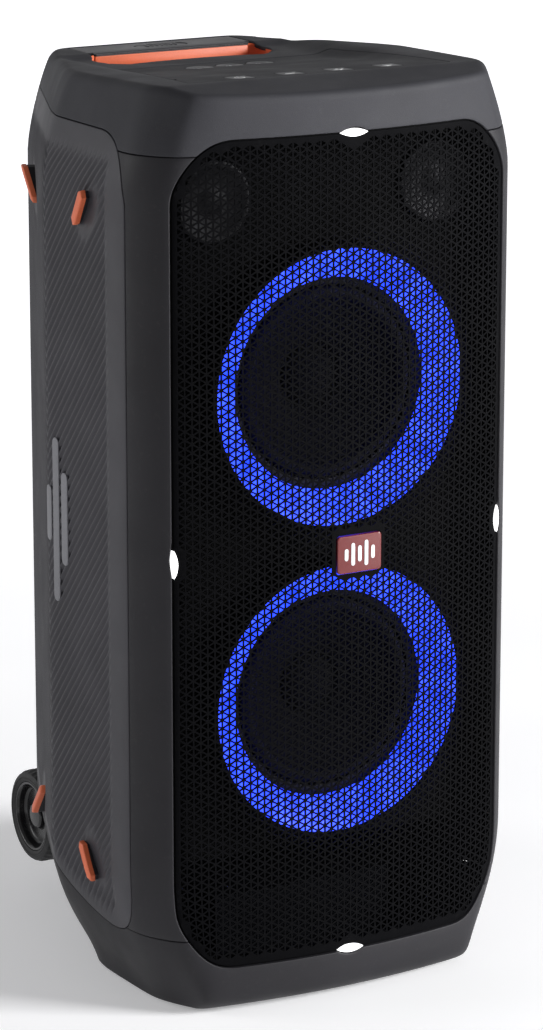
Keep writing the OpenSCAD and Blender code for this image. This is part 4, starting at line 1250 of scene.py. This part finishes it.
def bar(x, y, length, width, angle=0.0, n=6):
    """Rounded bar outline centred at x, y."""
    loop = np.vstack([arc(length / 2 - width / 2, 0, width / 2, -90, 90, n),
                      arc(width / 2 - length / 2, 0, width / 2, 90, 270, n)])
    a = math.radians(angle)
    turn = np.array([[math.cos(a), math.sin(a)], [-math.sin(a), math.cos(a)]])
    return loop @ turn + [x, y]


def ring_part(x, y, r, width, a0, a1, n=16):
    return np.vstack([arc(x, y, r + width / 2, a0, a1, n), arc(x, y, r - width / 2, a0, a1, n)[::-1]])


def buttons():
    for name, x in ROUND_BUTTONS:
        body = cap(circle(x, ROUND_Y, ROUND_R, 48), 1.6, 0.9, 0.9, 8)
        piece(name + "_cap", *body, name, "button_dark", M["button"], name)
    for name, x in KEYS:
        loop = fine(rounded(x - KEY_HALF, KEY_Y - KEY_HALF, x + KEY_HALF, KEY_Y + KEY_HALF, 1.5, 5), 1.5)
        piece(name + "_cap", *cap(loop, 2.5, 0.6, 0.25, 8), name, "button_dark", M["button"], name)
    x, y, d = -25.5, ROUND_Y, 0.75
    rays = [(bar(x + 5.2 * math.cos(a), y + 5.2 * math.sin(a), 2.4, 0.8, math.degrees(a)), 0.55)
            for a in np.linspace(0, TAU, 9)[:-1]]
    button_mark("light_mark", "light_button", [(circle(x, y, 2.6, 24), d)] + rays)
    x = 0
    button_mark("bass_mark", "bass_button", [(bar(x - 4 + 2.7 * k, y, h, 1.1, 90), 0.7)
                                             for k, h in enumerate((3, 7, 9, 5))])
    x = 25.5
    button_mark("pairing_mark", "pairing_button", [(ring_part(x - 2.2, y, 3, 0.9, 60, 300), 0.7),
                                                   (ring_part(x + 2.2, y, 3, 0.9, -120, 120), 0.7)])
    y = KEY_Y
    button_mark("power_mark", "power_key", [(ring_part(-61, y, 3.6, 0.9, 125, 415, 24), 0.12),
                                            (bar(-61, y + 3.2, 4, 0.9, 90), 0.12)])
    button_mark("volume_down_mark", "volume_down_key", [(bar(-20, y, 8, 1.2), 0.12)])
    uprights = [(bar(20, y + rise, 3.2, 1.2, 90), 0.1) for rise in (2.4, -2.4)]
    button_mark("volume_up_mark", "volume_up_key", [(bar(20, y, 8, 1.2), 0.12)] + uprights)
    arrow = np.array([(58.6, y - 4), (65, y), (58.6, y + 4)])
    button_mark("play_mark", "play_key", [(arrow, 0.12)])


# ---------------------------------------------------------------- handle

WELL_FLOOR, LIP_Z0 = 641, 664.7
TUBE_X, TUBE_Y = 54, 292


def handle_well():
    """Orange cup with a rounded bottom; its rim follows the hood's opening from below."""
    def loop(grow, z):
        right = np.vstack([arc(WELL_X, WELL_Y0, WELL_R + grow, -90, 0, 8),
                           arc(WELL_X, WELL_Y1, WELL_R + grow, 0, 90, 8)])
        flat = np.vstack([right, right[::-1] * [-1, 1]])
        rim = np.where(flat[:, 1] > 274.2, LIP_Z0 - 0.4, top(flat)[:, 2] - 1.3)
        return np.column_stack([flat, rim if z is None else rim * 0 + z])
    rows = [loop(1.6, WELL_FLOOR - 2), loop(1.6, None), loop(0, None)]
    rows += [loop(-0.25, 658), loop(-0.6, 651), loop(-1.6, 646), loop(-3.6, 642.8), loop(-6.5, 641.4),
             loop(-10, WELL_FLOOR)]
    points, faces = loft(rows)
    piece("handle_well_cup", points, faces, "cabinet", "accent_orange", M["orange"], "handle_well")


def grip_loop(grow):
    r = 2.2
    body = rounded(-70 - grow, 277 - grow, 70 + grow, 311 + grow, r, 5)
    return fine(body, 4)


def handle_grip():
    hole = fine(racetrack(16, TUBE_Y, 6.4, 10), 3)
    grid = lattice(spread(-68, 68, 5), spread(279, 309, 4))
    flat, tris, depth = region(grip_loop(0), [hole], grid, 2.0, hole_r=0.6)
    solid = thicken(top(flat), tris, depth + 0.05, 29)
    points, faces = solid
    piece("grip_body", points, faces, "handle", "button_dark", M["button"], "handle_grip")
    for name, slot_name, finish_name, z0, z1, rows in (
            ("grip_lip", "button_dark", "button", 674.4, 676.6, ((278.5, 0), (273.0, 0), (272.6, -0.3))),
            ("grip_lip_face", "accent_orange", "orange", LIP_Z0, 674.6,
             ((278.4, -0.1), (273.3, -0.1), (273.0, -0.5)))):
        loops = []
        for y, grow in rows:
            loop = rounded(-65.7 - grow, z0 - grow, 65.7 + grow, z1 + grow, 1)
            loops.append(np.column_stack([loop[:, 0], np.full(len(loop), y), loop[:, 1]]))
        piece(name, *loft(loops), "handle", slot_name, M[finish_name], "handle_grip")


def release_button():
    points, faces = cap(fine(racetrack(16, TUBE_Y, 6, 12), 2), 2.2, 1.0, -0.4, 9, -0.5)
    piece("release_cap", points, faces, "handle_release_button", "button_dark", M["button"], "handle_release")
    ridges = []
    for x in (-12, -8, -4, 0, 4, 8, 12):
        loops = []
        for z, w in ((676.3, 0.7), (676.75, 0.55), (676.9, 0.3)):
            flat = bar(x, TUBE_Y, 7 - (0.7 - w) * 2, 2 * w, 90)
            loops.append(np.column_stack([flat, np.full(len(flat), z)]))
        ridges.append(loft(loops))
    points, faces = joined(ridges)
    piece("release_ridges", points, faces, "handle_release_button", "button_dark", M["button"])


def joined(solids):
    """Several solids as one set of points and faces."""
    points, faces, count = [], [], 0
    for p, f in solids:
        points.append(p)
        faces += [tuple(i + count for i in q) for q in f]
        count += len(p)
    return np.vstack(points), faces


def handle_tubes():
    """Telescopic tubes with a groove near the top."""
    profile = round_corners([(8, 0), (8, 502), (7.6, 503), (7.6, 506), (8, 507), (8, 528.5), (6.8, 528.5),
                             (6.8, 0)], 0.4)
    tubes = [turned(profile, (s * TUBE_X, TUBE_Y, 135), "z", 48) for s in (-1, 1)]
    piece("tubes_polished", *joined(tubes), "handle", "tube_aluminium", M["alloy"], "handle_tubes")


def handle_sleeves():
    profile = round_corners([(8.05, 121.2), (10.5, 121.2), (10.5, 632), (13.5, 632.2), (13.5, 635),
                             (8.05, 635)], 0.4)
    sleeves = [turned(profile, (s * TUBE_X, TUBE_Y, 0), "z", 48) for s in (-1, 1)]
    piece("sleeves_drawn", *joined(sleeves), "cabinet", "sleeve_steel", M["steel"], "handle_sleeves")


# ---------------------------------------------------------------- wheels

WHEEL_W, WHEEL_FACE_X = 32, 103


def tyre_points():
    """Tyre with shoulder blocks, turned about the wheel's axis; x runs outwards."""
    n = 144
    a = np.linspace(0, TAU, n, endpoint=False)
    block = smooth(-0.35, 0.35, np.sin(a * 36))
    rows = [(28.05, 1, 0), (30.5, 0.3, 0), (33, 0.2, 0), (35, 1.0, 0), (36.2, 2.6, 1), (36.9, 5, 1),
            (37, 8, 1), (37, 10.2, 1), (36.2, 11, 0), (36.2, 12.4, 0), (37, 13.2, 0), (37, 18.8, 0),
            (36.2, 19.6, 0), (36.2, 21, 0), (37, 21.8, 1), (37, 24, 1), (36.9, 27, 1), (36.2, 29.4, 1),
            (35, 31, 0), (33, 31.9, 0), (31.8, 32, 0), (31.4, 31.5, 0), (30.6, 31.5, 0), (30.2, 31.9, 0),
            (28.05, 31)]
    loops = []
    for row in rows:
        r, x, tread = (*row, 0)[:3]
        radius = r - 0.9 * tread * (1 - block)
        loops.append(np.column_stack([np.full(n, float(x)), radius * np.cos(a), radius * np.sin(a)]))
    points, faces = loft(loops, False, False)
    m = len(loops)
    faces += [((m - 1) * n + i, (m - 1) * n + (i + 1) % n, (i + 1) % n, i) for i in range(n)]
    return points, faces


HUB = [(6.1, 2), (11, 2), (11, 19), (25, 19), (25, 2), (28, 2), (28, 30.2), (27.4, 31), (26, 31),
       (24.9, 29), (24, 24.6), (22.5, 23), (12, 22.4), (10.8, 23.4), (10.2, 26.6), (8.6, 27.7),
       (0, 28.2), (0, 23), (6.1, 23)]


def wheel(side):
    shift = [WHEEL_FACE_X - WHEEL_W, WHEEL_Y, AXLE_Z]
    flip = [side, 1, 1]
    body = f"wheel_{name_of(side)}"
    points, faces = tyre_points()
    piece(f"tyre_{name_of(side)}", (points + shift) * flip, faces, body, "tyre_black", M["tyre"],
          f"wheel_tyre_{name_of(side)}", angle=30)
    piece(f"hub_{name_of(side)}", *turned(round_corners(HUB, 0.5), [shift[0] * side, *shift[1:]],
                                          "x" if side > 0 else "-x"), body, "hub_gloss", M["hub"],
          f"wheel_hub_{name_of(side)}", angle=30)


def rod(name, node, body, slot, material, profile, centre, axis, n=48, r=0.5):
    piece(name, *turned(round_corners(profile, r), centre, axis, n), body, slot, material, node)


# ---------------------------------------------------------------- rear and inside

def rear_parts():
    port = [(31, 180), (35, 180), (35, 318.9), (35, 322), (34.3, 322)]
    port += bezier((34.3, 322), (31, 320.5), (31, 306), 8).tolist()
    rod("port_flared", "port_tube", "cabinet", "driver_black", M["inner"], port, (0, 0, 350), "y", 72, 0.3)
    head = round_corners([(0, 321.2), (1.1, 321.2), (1.4, 321.7), (2.8, 321.5), (3.2, 320.6),
                          (3.2, 320.1), (1.5, 320), (1.5, 306), (0, 304)], 0.2)
    screws = [turned(head, (x, 0, z), "y", 24) for x, z in SCREWS]
    piece("rear_screw_set", *joined(screws), "cabinet", "screw_black", M["screw"], "rear_screws")
    rod("axle_bar", "axle", "cabinet", "sleeve_steel", M["steel"], [(0, -93), (6, -93), (6, 93), (0, 93)],
        (0, WHEEL_Y, AXLE_Z), "x")
    foot = [(0, 0), (9.5, 0), (10, 0.5), (10.6, 0.5), (11.1, 0), (12.2, 0), (13, 0.8), (13, 3.9),
            (0, 3.9)]
    soles = [turned(foot, (x, y, 0), "z", 40) for x, y in ((-90, 58), (90, 58), (-62, 246), (62, 246))]
    piece("feet_moulded", *joined(soles), "cabinet", "soft_rubber", M["rubber"], "feet")
    door()
    knobs()


def door():
    """Rubber flap with a raised border, grip tab and rolled hinge edge."""
    x1, z0, z1, y = 51.6, 522.2, 604.2, 321.7
    hinge = round_corners([(0, -x1), (1.2, -x1), (1.2, x1), (0, x1)], 0.3)
    hinge = turned(hinge, (0, y - 1.2, z0), "x", 20)
    grid = lattice(spread(-x1 + 2, x1 - 2, 2.5), spread(z0 + 2, z1 - 2, 2.5))
    loop = fine(np.vstack([[(-x1, z0), (x1, z0)], arc(x1 - 3, z1 - 3, 3, 0, 90, 5),
                           arc(3 - x1, z1 - 3, 3, 90, 180, 5)]), 3)
    flat, tris, depth = region(loop, [], grid, 0.5)
    edge = distance(flat, loop)
    groove = 0.5 * smooth(3.2, 4.2, edge) * (1 - smooth(5.2, 6.2, edge))
    tab = smooth(0, 2, 7 - np.hypot(np.maximum(abs(flat[:, 0]) - 10, 0), flat[:, 1] - 594))
    points = np.column_stack([-flat[:, 0], np.full(len(flat), y), flat[:, 1]])
    plate = thicken(points, tris, depth + groove + 0.7 * tab, 2.4)
    piece("connector_door", *joined([plate, hinge]), "io_door", "soft_rubber", M["rubber"], "io_door")


def knobs():
    n = 60
    a = np.linspace(0, TAU, n, endpoint=False)
    teeth = 0.35 * smooth(-0.4, 0.4, np.cos(a * 20))
    for body, z in (("mic_knob", 586), ("guitar_knob", 541)):
        loops = []
        for r, y, k in ((3, 299, 0), (3, 307.6, 0), (8, 307.6, 0), (8.5, 308.2, 1), (8.4, 315.8, 1),
                        (7.8, 316.8, 1), (7.0, 317, 0), (6.4, 316.7, 0), (1, 316.7, 0)):
            radius = r - k * teeth
            loops.append(np.column_stack([-32 + radius * np.cos(a), np.full(n, y), z + radius * np.sin(a)]))
        line = bar(-32, z + 4.6, 5, 1.2, 90)
        pointer = [np.column_stack([line[:, 0], np.full(14, y), line[:, 1]]) for y in (316.9, 316.4)]
        piece(body + "_turned", *loft(loops), body, "button_dark", M["button"], body)
        piece(body + "_pointer", *loft(pointer), body, "lens_white", M["white"])


CARRIED = {"inner_cabinet": ("inner", "inner_black"), "baffle": ("inner", "inner_black"),
           "led_boards": ("board", "board_green"), "io_panel": ("inner", "inner_black"),
           "sockets": ("basket", "driver_black"), "battery_pack": ("battery", "battery_wrap"),
           "amplifier": ("alloy", "tube_aluminium"), "power_supply": ("board", "board_green")}


def carried_over():
    """CAD nodes that are shown as they are, with rounded edges and their own finish."""
    for name, (finish_name, slot_name) in CARRIED.items():
        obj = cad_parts[name]
        obj.data.materials.clear()
        obj.data.materials.append(M[finish_name])
        bevel = obj.modifiers.new("soft_edges", "BEVEL")
        bevel.width, bevel.segments, bevel.limit_method = 0.0006, 2, "ANGLE"
        bevel.angle_limit = math.radians(40)


# ---------------------------------------------------------------- stage

AMBIENT = 0.2                              # strength of the pale surroundings
STAGE_GLOW = 0.28                          # faint light of the floor and backdrop
STAGE_REACH, STAGE_BEND = 10.0, 2.6        # flat floor each way, and radius of the backdrop's foot, in metres
STAGE_TOP, STAGE_HALF_W = 11.0, 15.0

def stage_material():
    n = Nodes("studio_floor")
    n.set("Base Color", n.mix(n.ramp(n.noise(2, 2), 0.3, 0.7), rgba((238, 238, 240)), rgba((246, 246, 247))))
    n.set("Roughness", 0.75)
    n.set("Emission Color", rgba((250, 250, 252)))
    far = n.add("ShaderNodeSeparateXYZ", {0: n.place}).outputs[1]
    seen = n.add("ShaderNodeLightPath").outputs["Is Camera Ray"]
    backdrop = n.math("MULTIPLY", seen, n.ramp(far, 0.3, 3.0, 0, 0.7))
    n.set("Emission Strength", n.math("ADD", backdrop, STAGE_GLOW))
    return n.material


def stage():
    """Pale floor that curves up into a backdrop, beyond the farthest camera (9.4 m, with the handle up)."""
    turn = np.linspace(0, math.pi / 2, 14)
    profile = [(-STAGE_REACH, 0)]
    profile += [(STAGE_REACH + STAGE_BEND * math.sin(a), STAGE_BEND * (1 - math.cos(a))) for a in turn]
    profile += [(STAGE_REACH + STAGE_BEND, STAGE_TOP)]
    points = [(x, y, z) for y, z in profile for x in (-STAGE_HALF_W, STAGE_HALF_W)]
    faces = [(2 * i, 2 * i + 1, 2 * i + 3, 2 * i + 2) for i in range(len(profile) - 1)]
    mesh = bpy.data.meshes.new("studio_sweep")
    mesh.from_pydata(points, [], faces)
    mesh.polygons.foreach_set("use_smooth", [True] * len(mesh.polygons))
    mesh.materials.append(stage_material())
    floor = bpy.data.objects.new("studio_sweep", mesh)
    bpy.context.scene.collection.objects.link(floor)


def area_light(name, place, aim, size, power, tint=(1, 1, 1), size_y=None):
    data = bpy.data.lights.new(name, "AREA")
    data.shape = "RECTANGLE"
    data.size, data.size_y = size, size_y or size
    data.energy, data.color = power, tint
    lamp = bpy.data.objects.new(name, data)
    lamp.location = place
    lamp.rotation_euler = (Vector(aim) - Vector(place)).to_track_quat("-Z", "Y").to_euler()
    bpy.context.scene.collection.objects.link(lamp)


def lights():
    area_light("key_front_right", (2.5, -2.6, 1.35), (0, 0, 0.5), 1.2, 215)
    area_light("rear_left", (-2.7, 1.3, 1.1), (0, 0, 0.35), 1.4, 24)
    world = bpy.data.worlds.new("studio_world")
    bpy.context.scene.world = world
    world.use_nodes = True
    nodes, links = world.node_tree.nodes, world.node_tree.links
    nodes["Background"].inputs[0].default_value = (1, 1, 1, 1)
    nodes["Background"].inputs[1].default_value = AMBIENT
    seen = nodes.new("ShaderNodeBackground")
    seen.inputs[0].default_value = (1, 1, 1, 1)
    seen.inputs[1].default_value = 1.3
    path, mix = nodes.new("ShaderNodeLightPath"), nodes.new("ShaderNodeMixShader")
    links.new(path.outputs["Is Camera Ray"], mix.inputs[0])
    links.new(nodes["Background"].outputs[0], mix.inputs[1])
    links.new(seen.outputs[0], mix.inputs[2])
    links.new(mix.outputs[0], nodes["World Output"].inputs[0])
    bpy.context.scene.view_settings.view_transform = "Standard"


def camera():
    data = bpy.data.cameras.new("product_camera")
    data.lens, data.sensor_width = 142.7, 36
    cam = bpy.data.objects.new("product_camera", data)
    cam.location = (-1.45679, -2.63938, 1.11028)
    aim = Vector((0.02252, -0.0235, 0.33251)) - Vector(cam.location)
    cam.rotation_euler = aim.to_track_quat("-Z", "Y").to_euler()
    bpy.context.scene.collection.objects.link(cam)
    bpy.context.scene.camera = cam


# ---------------------------------------------------------------- build

def build():
    hood()
    base()
    for side in (-1, 1):
        post(side)
        tweeter(side)
        wheel(side)
        side_mark(side)
        for place in BUMPERS:
            bumper(side, place)
    grille_seat()
    grille()
    side_panels()
    rear_cover()
    strobe("strobe_top", 0, GRILLE_Z1 - 1, False)
    strobe("strobe_bottom", 0, GRILLE_Z0 + 1, False)
    strobe("strobe_left", -LENS_X, LENS_Z, True)
    strobe("strobe_right", LENS_X, LENS_Z, True)
    badge()
    light_ring("light_ring_upper", UPPER_Z, M["ring_u"])
    light_ring("light_ring_lower", LOWER_Z, M["ring_l"])
    woofer("upper", UPPER_Z)
    woofer("lower", LOWER_Z)
    control_panel()
    buttons()
    handle_well()
    handle_grip()
    release_button()
    handle_tubes()
    handle_sleeves()
    rear_parts()
    carried_over()
    stage()
    lights()
    camera()


build()
